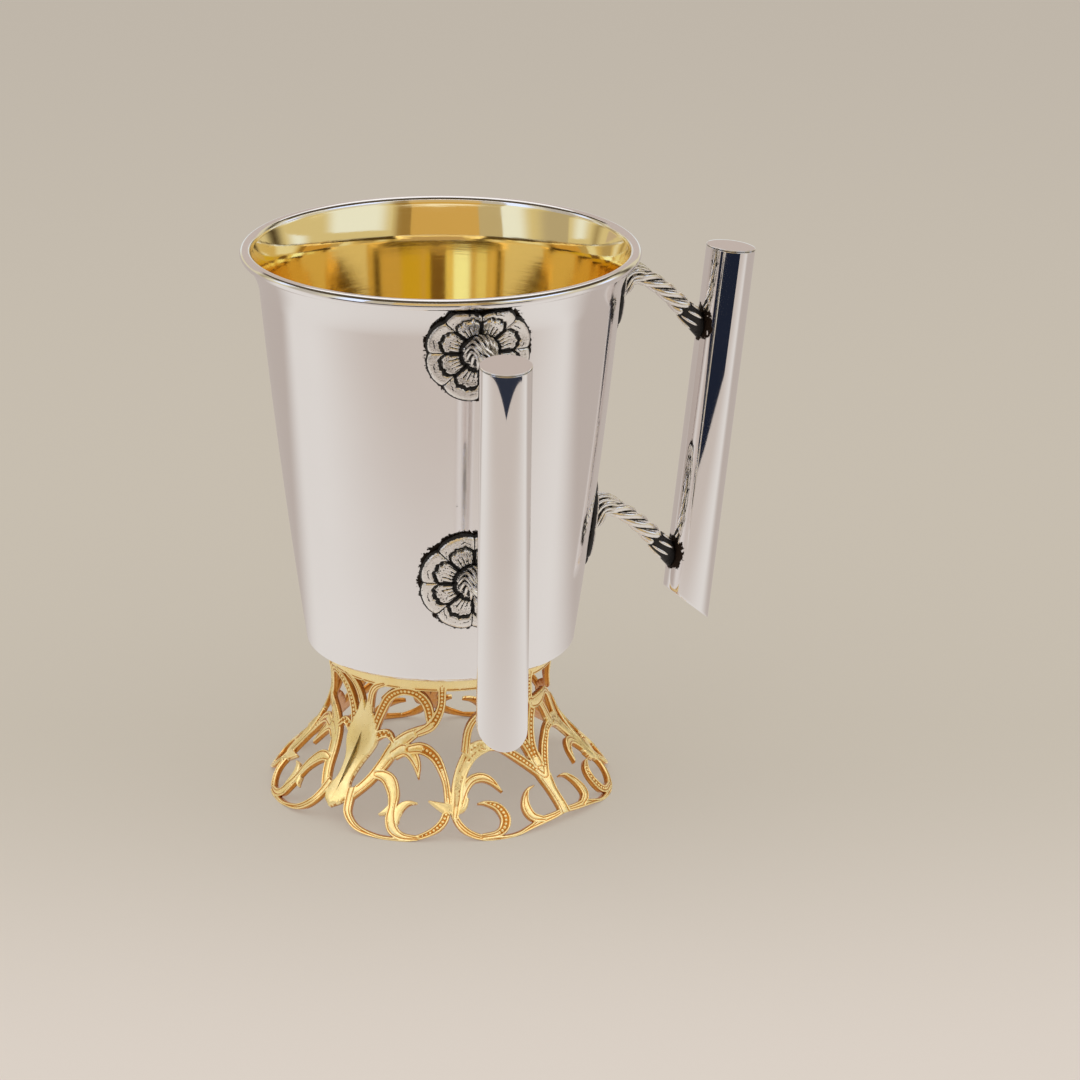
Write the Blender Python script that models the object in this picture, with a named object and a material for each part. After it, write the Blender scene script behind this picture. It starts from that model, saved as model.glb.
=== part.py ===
"""Two-handled ritual washing cup: a tapering silver bowl on a gilt openwork foot.

Lengths are metres and +Z is up. The cup stands on z = 0. The two handles lie either side of +X,
and the world origin is the centre of the cup's bounding box at floor level.
"""

import math

import bmesh
import bpy
import numpy as np
from mathutils import Matrix, Vector
from mathutils.geometry import delaunay_2d_cdt

MM = 0.001
GAP = 0.3 * MM  # clearance between pieces that touch

# Bowl
CUP_HEIGHT = 142.0 * MM
RIM_RADIUS = 50.0 * MM  # to the outside of the rolled edge
ROLL_RADIUS = 1.4 * MM
WALL = 1.0 * MM
WALL_TOP_RADIUS = 45.1 * MM  # where the wall starts to turn out into the lip
WALL_BELLY = 0.6 * MM  # how far the middle of the wall stands out from straight
LIP_START = 131.0 * MM
LIP_HOLLOW = 0.75 * MM  # how far the middle of the lip stands in from straight
BASE_RADIUS = 34.1 * MM
BASE_CORNER = 1.6 * MM
ROLL_START_DEG = -107.0  # where the rolled edge leaves the wall, from level
BOWL_SIDES = 48

# Foot: radius and height of its outer face, from the floor up
FOOT_HEIGHT = 38.3 * MM
FOOT_PROFILE_MM = ((44.9, 0), (42.1, 4), (38.3, 8), (31.0, 17), (28.1, 27), (29.6, 38.3))
FOOT_SHEET = 1.4 * MM
FOOT_TURN_DEG = -14.0  # direction of the first tall stem, from -Y towards +X
QUARTER_DEG = 90.0  # the pattern is mirrored and repeated past this
FLAT_MM_PER_DEG = 0.6  # the width that a degree gets in the flat drawing
RING_DEPTH_MM = 4.2  # plain ring under the bowl
RING_STEP_DEG = 7.5
LEVEL_ZONE = 2.5 * MM  # next to the floor and the bowl, the sheet's edges are level
SCROLL_STEP_MM = 2.5
LONGEST_SIDE_MM = 6.0
WELD_MM = 0.05  # points of the flat drawing this close become one
STRAIGHT_DEG = 9.0  # an outline's bends below this are straightened

# Handles
HANDLE_SPREAD_DEG = 98.7  # between the two handles, seen from above
HANDLES = {"front": (-1, 1.1), "side": (1, 0.0)}  # which side of +X, and its grip's sideways lean
UPPER_ROSETTE_HEIGHT = 128.0 * MM
ROSETTE_PITCH = 61.0 * MM
ROSETTE_RADIUS = 13.2 * MM
ROSETTE_SIDES = 32
PETALS = 8
PETAL_SCALLOP = 0.07  # depth of the notches between petals, as a share of the radius
ROSETTE_TIERS = (  # inwards: share of the radius, height in mm and the petals' swell in mm
    (1.00, 0.7, 0.2), (0.87, 1.6, 0.3), (0.72, 1.0, 0.1), (0.50, 1.7, 0.35),
)
BOSS_RADIUS = 3.9 * MM
BOSS_HEIGHT = 1.9 * MM
GRIP_RADIUS = 6.3 * MM
GRIP_TOP = (79.0 * MM, CUP_HEIGHT - 7.6 * MM)  # distance from the cup's axis, and height
GRIP_BOTTOM = (68.0 * MM, 39.7 * MM)
GRIP_CUT = 0.66  # slope of the oblique lower end, which rises towards the cup
GRIP_SIDES = 28
ARM_ROUTE_MM = (  # distance out from the boss, height above it, and radius
    (0, 0, 3.4), (3.9, 2.2, 2.8), (9.3, 0.0, 2.4), (15.1, -4.7, 2.45), (20.4, -10.4, 2.8),
    (25.3, -16.2, 2.95),
)
ARM_END = 2.5 * MM  # length of the coped end at the grip
ARM_SIDES = 12
ARM_STEPS = 11
ARM_STRANDS = 4
ARM_TWIST_TURNS = -1.3
ARM_STRAND_DEPTH = 0.13  # of the arm's radius

BASE_HEIGHT = FOOT_HEIGHT + GAP
ROLL_CENTRE = (RIM_RADIUS - ROLL_RADIUS, CUP_HEIGHT - ROLL_RADIUS)
WALL_START = BASE_HEIGHT + BASE_CORNER
ROLL_START = (
    ROLL_CENTRE[0] + ROLL_RADIUS * math.cos(math.radians(ROLL_START_DEG)),
    ROLL_CENTRE[1] + ROLL_RADIUS * math.sin(math.radians(ROLL_START_DEG)),
)
WALL_POINTS = (  # radius and height of the wall's outer face, from the base to the roll
    (BASE_RADIUS, WALL_START),
    ((BASE_RADIUS + WALL_TOP_RADIUS) / 2 + WALL_BELLY, (WALL_START + LIP_START) / 2),
    (WALL_TOP_RADIUS, LIP_START),
    ((WALL_TOP_RADIUS + ROLL_START[0]) / 2 - LIP_HOLLOW, (LIP_START + ROLL_START[1]) / 2),
    ROLL_START,
)
WALL_RADII, WALL_HEIGHTS = np.array(WALL_POINTS).T
WALL_SLOPES = np.arctan(np.gradient(WALL_RADII, WALL_HEIGHTS))  # from upright

COLOURS = {  # base colour, roughness
    "polished_silver": ((0.80, 0.76, 0.73), 0.16),
    "oxidised_silver": ((0.42, 0.40, 0.38), 0.35),
    "gilt": ((0.83, 0.58, 0.22), 0.25),
}


def clear_scene():
    for obj in list(bpy.data.objects):
        bpy.data.objects.remove(obj, do_unlink=True)


def metal(name):
    colour, roughness = COLOURS[name]
    material = bpy.data.materials.get(name) or bpy.data.materials.new(name)
    material.use_nodes = True
    shader = material.node_tree.nodes["Principled BSDF"]
    shader.inputs["Base Color"].default_value = (*colour, 1)
    shader.inputs["Roughness"].default_value = roughness
    shader.inputs["Metallic"].default_value = 1.0
    return material


def add_object(name, mesh_data, material, parent, smooth_below_deg=40):
    mesh = bpy.data.meshes.new(name)
    mesh_data.to_mesh(mesh)
    mesh_data.free()
    mesh.materials.append(metal(material))
    mesh.shade_smooth()
    mesh.set_sharp_from_angle(angle=math.radians(smooth_below_deg))
    obj = bpy.data.objects.new(name, mesh)
    bpy.context.scene.collection.objects.link(obj)
    obj.parent = parent
    return obj


def add_empty(name, parent=None):
    empty = bpy.data.objects.new(name, None)
    bpy.context.scene.collection.objects.link(empty)
    empty.parent = parent
    return empty


def spline(points, samples_per_span=12):
    """A smooth path through the points, which may carry further columns such as a width."""
    points = np.array(points, float)
    before = 2 * points[0] - points[1]
    after = 2 * points[-1] - points[-2]
    held = np.vstack([before, points, after])
    t = np.linspace(0, 1, samples_per_span, endpoint=False)[:, None]
    spans = []
    for p0, p1, p2, p3 in zip(held, held[1:], held[2:], held[3:]):
        bend = (2 * p0 - 5 * p1 + 4 * p2 - p3) * t**2 + (3 * p1 - p0 - 3 * p2 + p3) * t**3
        spans.append(p1 + 0.5 * ((p2 - p0) * t + bend))
    return np.vstack([*spans, points[-1:]])


def along(path, distances, targets):
    return np.stack([np.interp(targets, distances, column) for column in path.T], axis=1)


def running_length(path):
    steps = np.linalg.norm(np.diff(path, axis=0), axis=1)
    return np.concatenate([[0], np.cumsum(steps)])


def ring_of(bm, count, place):
    return [bm.verts.new(place(2 * math.pi * i / count)) for i in range(count)]


def bridge(bm, lower, upper):
    for i, (low, high) in enumerate(zip(lower, upper)):
        after = (i + 1) % len(lower)
        bm.faces.new((low, lower[after], upper[after], high))


def fan(bm, ring, centre):
    for i, vert in enumerate(ring):
        bm.faces.new((vert, ring[(i + 1) % len(ring)], centre))


# Bowl


def arc(centre, radius, start_deg, end_deg, steps):
    angles = np.radians(np.linspace(start_deg, end_deg, steps + 1))
    return [(centre[0] + radius * math.cos(a), centre[1] + radius * math.sin(a)) for a in angles]


def bowl_profile():
    """Radius and height from the middle of the underside, up the outside, to the inner floor."""
    inner_floor = BASE_HEIGHT + WALL
    inner_corner = BASE_RADIUS - WALL
    outside_corner = arc(
        (BASE_RADIUS - BASE_CORNER, BASE_HEIGHT + BASE_CORNER), BASE_CORNER, -90, 0, 2
    )
    inside_corner = arc(
        (inner_corner - BASE_CORNER, inner_floor + BASE_CORNER), BASE_CORNER, 0, -90, 2
    )
    outside_wall = WALL_POINTS[1:-1]
    inside_wall = [(radius - WALL, height) for radius, height in outside_wall[::-1]]
    roll = [
        *arc(ROLL_CENTRE, ROLL_RADIUS, ROLL_START_DEG, 0, 3),
        *arc(ROLL_CENTRE, ROLL_RADIUS, 0, 90, 2)[1:],
        *arc(ROLL_CENTRE, ROLL_RADIUS, 90, 180, 2)[1:],
    ]
    outside = [(0, BASE_HEIGHT), *outside_corner, *outside_wall]
    inside = [*inside_wall, *inside_corner, (0, inner_floor)]
    return [*outside, *roll, *inside]


def build_bowl(parent):
    bm = bmesh.new()
    profile = bowl_profile()
    underside = bm.verts.new((0, 0, profile[0][1]))
    floor = bm.verts.new((0, 0, profile[-1][1]))
    rings = [
        ring_of(bm, BOWL_SIDES, lambda a, r=r, z=z: (r * math.cos(a), r * math.sin(a), z))
        for r, z in profile[1:-1]
    ]
    fan(bm, rings[0][::-1], underside)
    for lower, upper in zip(rings, rings[1:]):
        bridge(bm, lower, upper)
    fan(bm, rings[-1], floor)
    return add_object("bowl", bm, "polished_silver", parent)


# Openwork foot. A quarter of it is drawn flat as scrolls, in degrees round the foot from a tall
# stem and millimetres up its face, each point with the scroll's width there. The quarter is
# mirrored and repeated, wrapped round the flared profile and given its thickness.

SCROLLS = {
    "tall_stem": [
        (0, 5.6, 0.5), (0, 8, 6.2), (0, 11, 6.0), (0, 14.5, 4.6), (0, 19, 6.0), (0, 24.5, 10.2),
        (0, 28.5, 7.6), (0, 31.5, 5.6),
    ],
    "stem_rib": [(1.5, 28, 3), (2.6, 33, 2), (4.5, 36.8, 1.9), (8, 39.2, 1.9), (13.5, 40.6, 1.6)],
    "crown_arch": [
        (6.2, 26.5, 2.4), (9.3, 31.5, 2.5), (15, 36.6, 2.5), (22.5, 39.1, 2.4), (30.5, 38.8, 2.5),
        (35.8, 35.8, 2.6), (38, 30.8, 2.3),
    ],
    "bud": [(7, 25.3, 2.4), (11.5, 26.9, 2.3), (15.5, 27.2, 2), (19, 25.5, 1.2)],
    "branch": [
        (6, 9.4, 2.6), (11.5, 14.6, 2.8), (15.5, 19.5, 3.2), (19.5, 24, 3.6), (25, 26.8, 3.4),
        (30, 28.5, 2.6), (35, 29.6, 2),
    ],
    "hook_leaf": [
        (20, 22.5, 3), (24.5, 24, 3.4), (28.5, 23.2, 3), (31.6, 20.8, 2.3), (33.4, 17, 0.4),
    ],
    "ring_link": [
        (31, 28.3, 2), (37.5, 30.2, 2.6), (41, 32.6, 2.4), (43.3, 36, 2.1), (43.6, 41, 2.2),
    ],
    "left_arch": [
        (27.5, 24.2, 2.6), (32.5, 24.7, 3), (37.2, 23.9, 2.9), (41.5, 21.6, 2.5), (44.8, 16.8, 1.9),
        (45.7, 11.5, 1.9), (45.6, 8, 1.9),
    ],
    "first_lobe": [
        (5.8, 12, 2.6), (6.6, 9, 2.5), (8.6, 5.2, 2.2), (13.4, 2.2, 1.8), (20, 0.8, 1.2),
        (26, 0.4, 1.1), (33, 0.8, 1.4), (39.4, 2.8, 1.9), (43.4, 5.4, 2.2), (45.4, 9, 2),
    ],
    "s_curve": [
        (14.5, 16.8, 2.4), (18, 16.7, 3.2), (21.3, 15.5, 3.7), (24, 12.4, 3.2), (24.7, 9, 2.5),
        (25, 6, 2.9), (26.6, 3, 3), (30, 1.4, 2.2), (35, 1.1, 1.6),
    ],
    "s_curve_barb": [(23.5, 8.3, 2), (22, 7.3, 1.3), (20.2, 6.6, 0.3)],
    "horn_leaf": [
        (27, 4.5, 1.8), (26.9, 7, 2.2), (28.2, 9.3, 2.1), (30.7, 10.5, 1.3), (34, 10.6, 0.3),
    ],
    "thorn": [(38.2, 11.3, 0.4), (41.5, 10.3, 1.7), (45, 9.3, 3)],
    "right_fan": [
        (47.9, 6.8, 1.8), (49, 11, 2.9), (50.3, 16, 3.2), (54, 20.8, 3.5), (59.6, 23.9, 3.9),
        (69, 25, 2.8),
    ],
    "fan_leaf": [
        (50.2, 9.5, 1.8), (52.5, 14, 2.4), (56, 16.5, 2.4), (60.7, 17, 2.4), (64.7, 15.6, 1.8),
        (67.9, 12.4, 0.4),
    ],
    "fan_spur": [(48.5, 8.6, 1.8), (51, 9.6, 2.2), (53.2, 11.8, 1.2)],
    "second_lobe": [
        (47.5, 10, 1.6), (47.9, 7.5, 1.8), (49.5, 4.7, 1.9), (52.6, 2.4, 1.9), (57.4, 0.8, 1.7),
        (63.5, 0.3, 1.2), (69, 0.6, 1), (74, 1.7, 1.4), (79, 2.7, 2.1), (85, 3.1, 1.8),
        (91, 3.7, 1.6),
    ],
    "beaded_curl": [
        (56.9, 10.2, 0.3), (60.3, 10.1, 1.3), (64.3, 8.7, 2.3), (66, 5.8, 2.8), (64.8, 3.1, 2.6),
        (61.8, 1.6, 2), (57, 1.3, 1.6),
    ],
    "plain_curl": [
        (82.6, 12.1, 0.3), (79, 11.5, 1), (76.3, 9.3, 1.9), (75.3, 6.6, 2.7), (76.4, 4.3, 2.5),
        (79.8, 3.1, 1.8),
    ],
    "short_stem": [(90, 3, 3.4), (90, 9, 3.2), (90, 13.5, 4.6), (90, 18, 5.6)],
    "diagonal": [
        (89.5, 13.5, 2.4), (85.5, 17, 2.4), (81.5, 19.8, 2.5), (76.5, 22.3, 2.3), (71.5, 24, 2.2),
        (64, 24.6, 2.6),
    ],
    "fork": [(89.5, 17, 3), (88.5, 21.5, 2.6), (85.5, 26, 2.4), (82.5, 29.5, 2.6), (80.3, 31.8, 3)],
    "fork_link": [(80.5, 31.5, 2.2), (82.9, 33.4, 2.2), (84.7, 37, 2), (86.1, 41, 2.2)],
    "upper_band": [
        (80.5, 32, 3), (76, 31.8, 3.6), (70.5, 32.2, 3.2), (65.5, 32.8, 2), (60.5, 31.4, 1.9),
        (57, 28.6, 2), (54.9, 23.6, 2.2),
    ],
    "lower_band": [(73.5, 31.6, 2), (69.5, 28.8, 2), (66.3, 25, 2.6)],
}


def foot_curve():
    """The outer face's radius and height, with the distance up the face."""
    curve = spline(FOOT_PROFILE_MM) * MM
    return curve, running_length(curve)


FOOT_CURVE, FOOT_RISE = foot_curve()
RING_TOP_MM = FOOT_RISE[-1] / MM
RING_START_MM = RING_TOP_MM - RING_DEPTH_MM


def face_radius_mm(rise_mm):
    return np.interp(rise_mm * MM, FOOT_RISE, FOOT_CURVE[:, 0]) / MM


def scroll_edges(scroll):
    """Both edges of a scroll, as points in degrees and millimetres, at even steps along it."""
    per_deg = math.radians(1) * face_radius_mm(scroll[:, 1])
    flat = np.stack([scroll[:, 0] * per_deg.mean(), scroll[:, 1]], axis=1)
    lengths = running_length(flat)
    count = max(2, round(lengths[-1] / SCROLL_STEP_MM))
    path = along(scroll, lengths, np.linspace(0, lengths[-1], count + 1))
    per_deg = math.radians(1) * face_radius_mm(path[:, 1])
    direction = np.stack([np.gradient(path[:, 0]) * per_deg, np.gradient(path[:, 1])], axis=1)
    direction /= np.linalg.norm(direction, axis=1)[:, None]
    across = np.stack([-direction[:, 1] / per_deg, direction[:, 0]], axis=1) * path[:, 2:] / 2
    return path[:, :2] + across, path[:, :2] - across


def flat_quads():
    """Corners and faces of every scroll and of the top ring, drawn flat in millimetres."""
    corners, faces = [], []

    def add(quad):
        faces.append(list(range(len(corners), len(corners) + 4)))
        corners.extend(Vector((deg * FLAT_MM_PER_DEG, rise)) for deg, rise in quad)

    for points in SCROLLS.values():
        left, right = scroll_edges(spline(points))
        for i in range(len(left) - 1):
            add((left[i + 1], left[i], right[i], right[i + 1]))
    for start in np.arange(0, QUARTER_DEG, RING_STEP_DEG):
        end = start + RING_STEP_DEG
        add(((start, RING_TOP_MM), (start, RING_START_MM), (end, RING_START_MM), (end, RING_TOP_MM)))
    return corners, faces


def union_of(corners, faces):
    """One flat mesh that covers what the overlapping faces cover."""
    keep_insides, tolerance = 1, 1e-4
    cut = delaunay_2d_cdt(corners, [], faces, keep_insides, tolerance)
    points, _, triangles, _, _, sources = cut
    bm = bmesh.new()
    verts = [bm.verts.new((x, y, 0)) for x, y in points]
    for triangle, source in zip(triangles, sources):
        if source:
            bm.faces.new([verts[i] for i in triangle])
    loose = [v for v in bm.verts if not v.link_faces]
    bmesh.ops.delete(bm, geom=loose, context="VERTS")
    return bm


def cut_away(bm, point, normal):
    everything = [*bm.verts, *bm.edges, *bm.faces]
    bmesh.ops.bisect_plane(
        bm, geom=everything, dist=1e-5, plane_co=point, plane_no=normal, clear_outer=True
    )


def flat_quarter():
    bm = union_of(*flat_quads())
    cut_away(bm, (0, 0, 0), (-1, 0, 0))
    cut_away(bm, (QUARTER_DEG * FLAT_MM_PER_DEG, 0, 0), (1, 0, 0))
    cut_away(bm, (0, 0, 0), (0, -1, 0))
    bmesh.ops.remove_doubles(bm, verts=bm.verts, dist=WELD_MM)
    bmesh.ops.dissolve_limit(
        bm,
        angle_limit=math.radians(STRAIGHT_DEG),
        verts=[v for v in bm.verts if v.co.y < RING_START_MM - WELD_MM],
        edges=bm.edges,
        delimit=set(),
    )
    for edge in list(bm.edges):
        pieces = math.ceil(edge.calc_length() / LONGEST_SIDE_MM)
        if pieces > 1:
            bmesh.ops.subdivide_edges(bm, edges=[edge], cuts=pieces - 1)
    bmesh.ops.triangulate(bm, faces=bm.faces)
    return bm


def on_foot(deg, rise_mm, depth):
    """A point of the foot's sheet, depth behind its outer face."""
    rise = min(max(rise_mm * MM, 0), FOOT_RISE[-1])
    radius, height = (np.interp(rise, FOOT_RISE, FOOT_CURVE[:, i]) for i in (0, 1))
    ahead = np.array([np.interp(rise + MM, FOOT_RISE, FOOT_CURVE[:, i]) for i in (0, 1)])
    behind = np.array([np.interp(rise - MM, FOOT_RISE, FOOT_CURVE[:, i]) for i in (0, 1)])
    slope = (ahead - behind) / np.linalg.norm(ahead - behind)
    from_edge = min(height, FOOT_HEIGHT - height) / LEVEL_ZONE
    level = 1 - min(from_edge, 1)
    inward = np.array([-slope[1], slope[0] * (1 - level)])
    inward /= np.linalg.norm(inward)
    radius, height = np.array([radius, height]) + depth * inward
    angle = math.radians(deg)
    return Vector((radius * math.sin(angle), -radius * math.cos(angle), height))


def whole_foot():
    """Every quarter in one list of points, degrees and millimetres, and one of triangles."""
    quarter = flat_quarter()
    outline = [(v.co.x / FLAT_MM_PER_DEG, v.co.y) for v in quarter.verts]
    corners = [[v.index for v in face.verts] for face in quarter.faces]
    quarter.free()
    places, triangles = {}, []
    for turn, mirror in ((0, 1), (180, -1), (180, 1), (360, -1)):
        shared = []
        for deg, rise in outline:
            key = (round((turn + mirror * deg) % 360, 3) % 360, round(rise, 3))
            shared.append(places.setdefault(key, len(places)))
        triangles += [[shared[i] for i in triangle[::mirror]] for triangle in corners]
    return list(places), triangles


def build_foot(parent):
    places, triangles = whole_foot()
    bm = bmesh.new()
    outer, inner = (
        [bm.verts.new(on_foot(FOOT_TURN_DEG + deg, rise, depth)) for deg, rise in places]
        for depth in (0, FOOT_SHEET)
    )
    sides = {(a, b) for t in triangles for a, b in zip(t, [*t[1:], t[0]])}
    for a, b, c in triangles:
        bm.faces.new((outer[a], outer[b], outer[c]))
        bm.faces.new((inner[c], inner[b], inner[a]))
    for a, b in sides:
        if (b, a) not in sides:
            bm.faces.new((outer[b], outer[a], inner[a], inner[b]))
    return add_object("openwork_foot", bm, "gilt", parent)


# Handles. Each is built beside the cup at +X, then turned about the cup's axis.


def wall_at(height):
    """Radius of the wall's outer face at a height, and its slope there."""
    radius = np.interp(height, WALL_HEIGHTS, WALL_RADII)
    return float(radius), float(np.interp(height, WALL_HEIGHTS, WALL_SLOPES))


def on_wall(across, up, height, rise):
    """A point near the bowl's outer wall: across and up the wall from a height, rise above it."""
    radius, slope = wall_at(height + up)
    angle = across / radius
    out = radius + rise * math.cos(slope)
    level = height + up - rise * math.sin(slope)
    return Vector((out * math.cos(angle), out * math.sin(angle), level))


def petal_reach(angle, height):
    """The rosette's edge: scalloped, and kept below the rim's roll."""
    scallop = 1 - PETAL_SCALLOP * (1 - abs(math.sin(PETALS * angle / 2)) ** 0.6)
    room = ROLL_START[1] - ROLL_RADIUS - GAP - height
    upward = max(math.sin(angle), 1e-3)
    return min(ROSETTE_RADIUS, room / upward) * scallop


def build_rosette(name, height, parent):
    """Two tiers of petals round a boss, on a back that follows the wall."""
    bm = bmesh.new()

    def spot(angle, share, rise):
        reach = petal_reach(angle, height) * share
        return on_wall(reach * math.cos(angle), reach * math.sin(angle), height, GAP + rise)

    def boss(angle):
        across, up = BOSS_RADIUS * math.cos(angle), BOSS_RADIUS * math.sin(angle)
        return on_wall(across, up, height, GAP + BOSS_HEIGHT)

    def swelling(angle, swell):
        return swell * MM * (2 * abs(math.sin(PETALS * angle / 2)) - 1)

    back = [ring_of(bm, ROSETTE_SIDES, lambda a, s=s: spot(a, s, 0)) for s in (0.5, 1.0)]
    front = [
        ring_of(bm, ROSETTE_SIDES, lambda a, t=t: spot(a, t[0], t[1] * MM + swelling(a, t[2])))
        for t in ROSETTE_TIERS
    ]
    rings = [*back, *front, ring_of(bm, ROSETTE_SIDES, boss)]
    fan(bm, rings[0][::-1], bm.verts.new(on_wall(0, 0, height, GAP)))
    for lower, upper in zip(rings, rings[1:]):
        bridge(bm, lower, upper)
    fan(bm, rings[-1], bm.verts.new(on_wall(0, 0, height, GAP + BOSS_HEIGHT)))
    return add_object(name, bm, "oxidised_silver", parent)


def grip_axis():
    bottom = Vector((GRIP_BOTTOM[0], 0, GRIP_BOTTOM[1]))
    top = Vector((GRIP_TOP[0], 0, GRIP_TOP[1]))
    return bottom, top


def build_grip(name, lean_deg, parent):
    bottom, top = grip_axis()
    middle = (bottom + top) / 2
    length = (top - bottom).length
    bm = bmesh.new()

    def rim(angle, at, slope):
        inward = GRIP_RADIUS * math.sin(angle)
        return (GRIP_RADIUS * math.cos(angle), inward, at + slope * inward)

    lower = ring_of(bm, GRIP_SIDES, lambda a: rim(a, 0, GRIP_CUT))
    upper = ring_of(bm, GRIP_SIDES, lambda a: rim(a, length, 0))
    bm.faces.new(lower[::-1])
    bridge(bm, lower, upper)
    bm.faces.new(upper)
    obj = add_object(name, bm, "polished_silver", parent)
    lean = Matrix.Rotation(math.radians(lean_deg), 4, "X")
    upright = (top - bottom).to_track_quat("Z", "Y").to_matrix().to_4x4()
    place = Matrix.Translation(middle) @ lean @ Matrix.Translation(bottom - middle) @ upright
    obj.location, obj.rotation_euler = place.translation, place.to_euler()
    return obj


def arm_route(height):
    """Middle of an arm, from its rosette's boss to inside the grip, with the arm's radius."""
    start = on_wall(0, 0, height, 2 * GAP + BOSS_HEIGHT)
    return spline([(start.x + x * MM, start.z + z * MM, r * MM) for x, z, r in ARM_ROUTE_MM])


def to_grip(point, direction):
    """Where a line from the point meets the grip's surface, less the gap."""
    bottom, top = grip_axis()
    axis = (top - bottom).normalized()
    offset = point - bottom
    offset -= axis * offset.dot(axis)
    heading = direction - axis * direction.dot(axis)
    a = heading.length_squared
    b = 2 * offset.dot(heading)
    c = offset.length_squared - (GRIP_RADIUS + GAP) ** 2
    return (-b - math.sqrt(b * b - 4 * a * c)) / (2 * a)


def build_arm(name, height, parent):
    """A twisted arm whose last ring is coped to the round grip."""
    route = arm_route(height)
    slope = wall_at(height)[1]
    lengths = running_length(route[:, :2])
    middle = Vector((route[-1][0], 0, route[-1][1]))
    last = Vector((route[-1][0] - route[-2][0], 0, route[-1][1] - route[-2][1])).normalized()
    touch = lengths[-1] + to_grip(middle, last)
    stations = np.linspace(0, touch - ARM_END, ARM_STEPS)
    path = along(route, lengths, stations)
    tangents = np.gradient(path[:, :2], axis=0)
    bm = bmesh.new()
    rings = []
    for i, ((x, z, radius), (dx, dz)) in enumerate(zip(path, tangents)):
        centre = Vector((x, 0, z))
        side = Vector((0, 1, 0))
        along_arm = Vector((dx, 0, dz)).normalized()
        if i == 0:
            along_arm = Vector((math.cos(slope), 0, -math.sin(slope)))
        upward = along_arm.cross(side)
        turn = ARM_TWIST_TURNS * 2 * math.pi * i / (ARM_STEPS - 1)

        def strand(angle):
            swell = 1 + ARM_STRAND_DEPTH * math.cos(ARM_STRANDS * (angle - turn))
            spoke = side * math.cos(angle) + upward * math.sin(angle)
            return centre + spoke * float(radius * swell)

        rings.append(ring_of(bm, ARM_SIDES, strand))
    coped = [v.co + along_arm * to_grip(v.co, along_arm) for v in rings[-1]]
    rings.append([bm.verts.new(place) for place in coped])
    heart = centre + along_arm * to_grip(centre, along_arm)
    fan(bm, rings[0][::-1], bm.verts.new((path[0][0], 0, path[0][1])))
    for lower, upper in zip(rings, rings[1:]):
        bridge(bm, lower, upper)
    fan(bm, rings[-1], bm.verts.new(heart))
    return add_object(name, bm, "oxidised_silver", parent)


def build_handle(side, direction, lean_deg, parent):
    pivot = add_empty(f"{side}_handle", parent)
    pivot.rotation_euler.z = math.radians(direction * HANDLE_SPREAD_DEG / 2)
    for level, drop in (("upper", 0), ("lower", ROSETTE_PITCH)):
        height = UPPER_ROSETTE_HEIGHT - drop
        build_rosette(f"{side}_handle_{level}_rosette", height, pivot)
        build_arm(f"{side}_handle_{level}_arm", height, pivot)
    build_grip(f"{side}_handle_grip", lean_deg, pivot)


def centre_on_origin(cup):
    """Moves the cup so that its bounding box is centred on the world's Z axis."""
    bpy.context.view_layer.update()
    corners = [
        obj.matrix_world @ vert.co
        for obj in bpy.context.scene.objects
        if obj.type == "MESH"
        for vert in obj.data.vertices
    ]
    for axis in (0, 1):
        values = [corner[axis] for corner in corners]
        cup.location[axis] = -(min(values) + max(values)) / 2


def main():
    clear_scene()
    cup = add_empty("washing_cup")
    build_bowl(cup)
    build_foot(cup)
    for side, (direction, lean_deg) in HANDLES.items():
        build_handle(side, direction, lean_deg, cup)
    centre_on_origin(cup)


main()
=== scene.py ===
"""Finish and fine detail of a two-handled ritual washing cup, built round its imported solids.

Lengths are metres and +Z is up. A measure whose name ends in _MM or _DEG is in that unit. Every
piece is first built about the cup's own axis and then moved onto it.
"""
import math
from math import cos, pi, radians, sin

import bmesh
import bpy
import numpy as np
from mathutils import Matrix, Vector
from mathutils.bvhtree import BVHTree
from mathutils.geometry import delaunay_2d_cdt


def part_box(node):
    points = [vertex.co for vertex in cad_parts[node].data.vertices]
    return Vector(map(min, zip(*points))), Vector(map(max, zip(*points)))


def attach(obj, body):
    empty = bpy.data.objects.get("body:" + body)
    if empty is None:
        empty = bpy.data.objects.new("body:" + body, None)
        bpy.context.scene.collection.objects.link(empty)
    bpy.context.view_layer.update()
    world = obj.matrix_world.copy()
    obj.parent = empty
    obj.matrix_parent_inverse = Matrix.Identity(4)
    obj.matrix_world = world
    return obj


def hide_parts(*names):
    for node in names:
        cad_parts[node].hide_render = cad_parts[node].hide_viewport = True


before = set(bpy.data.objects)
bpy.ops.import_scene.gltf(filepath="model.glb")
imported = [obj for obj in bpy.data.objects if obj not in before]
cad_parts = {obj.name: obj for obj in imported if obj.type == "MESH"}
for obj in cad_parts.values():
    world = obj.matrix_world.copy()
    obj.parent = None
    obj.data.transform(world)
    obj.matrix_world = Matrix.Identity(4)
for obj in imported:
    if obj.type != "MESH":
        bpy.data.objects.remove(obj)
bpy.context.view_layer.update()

MM = 0.001
GAP = 0.3 * MM  # clearance between pieces that touch

# Measures read from the solids
BOWL_LOW, BOWL_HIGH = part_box("bowl")
CUP_AXIS = Vector(((BOWL_LOW.x + BOWL_HIGH.x) / 2, (BOWL_LOW.y + BOWL_HIGH.y) / 2, 0))
RIM_RADIUS = (BOWL_HIGH.x - BOWL_LOW.x) / 2
CUP_HEIGHT = BOWL_HIGH.z
BASE_HEIGHT = BOWL_LOW.z

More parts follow.
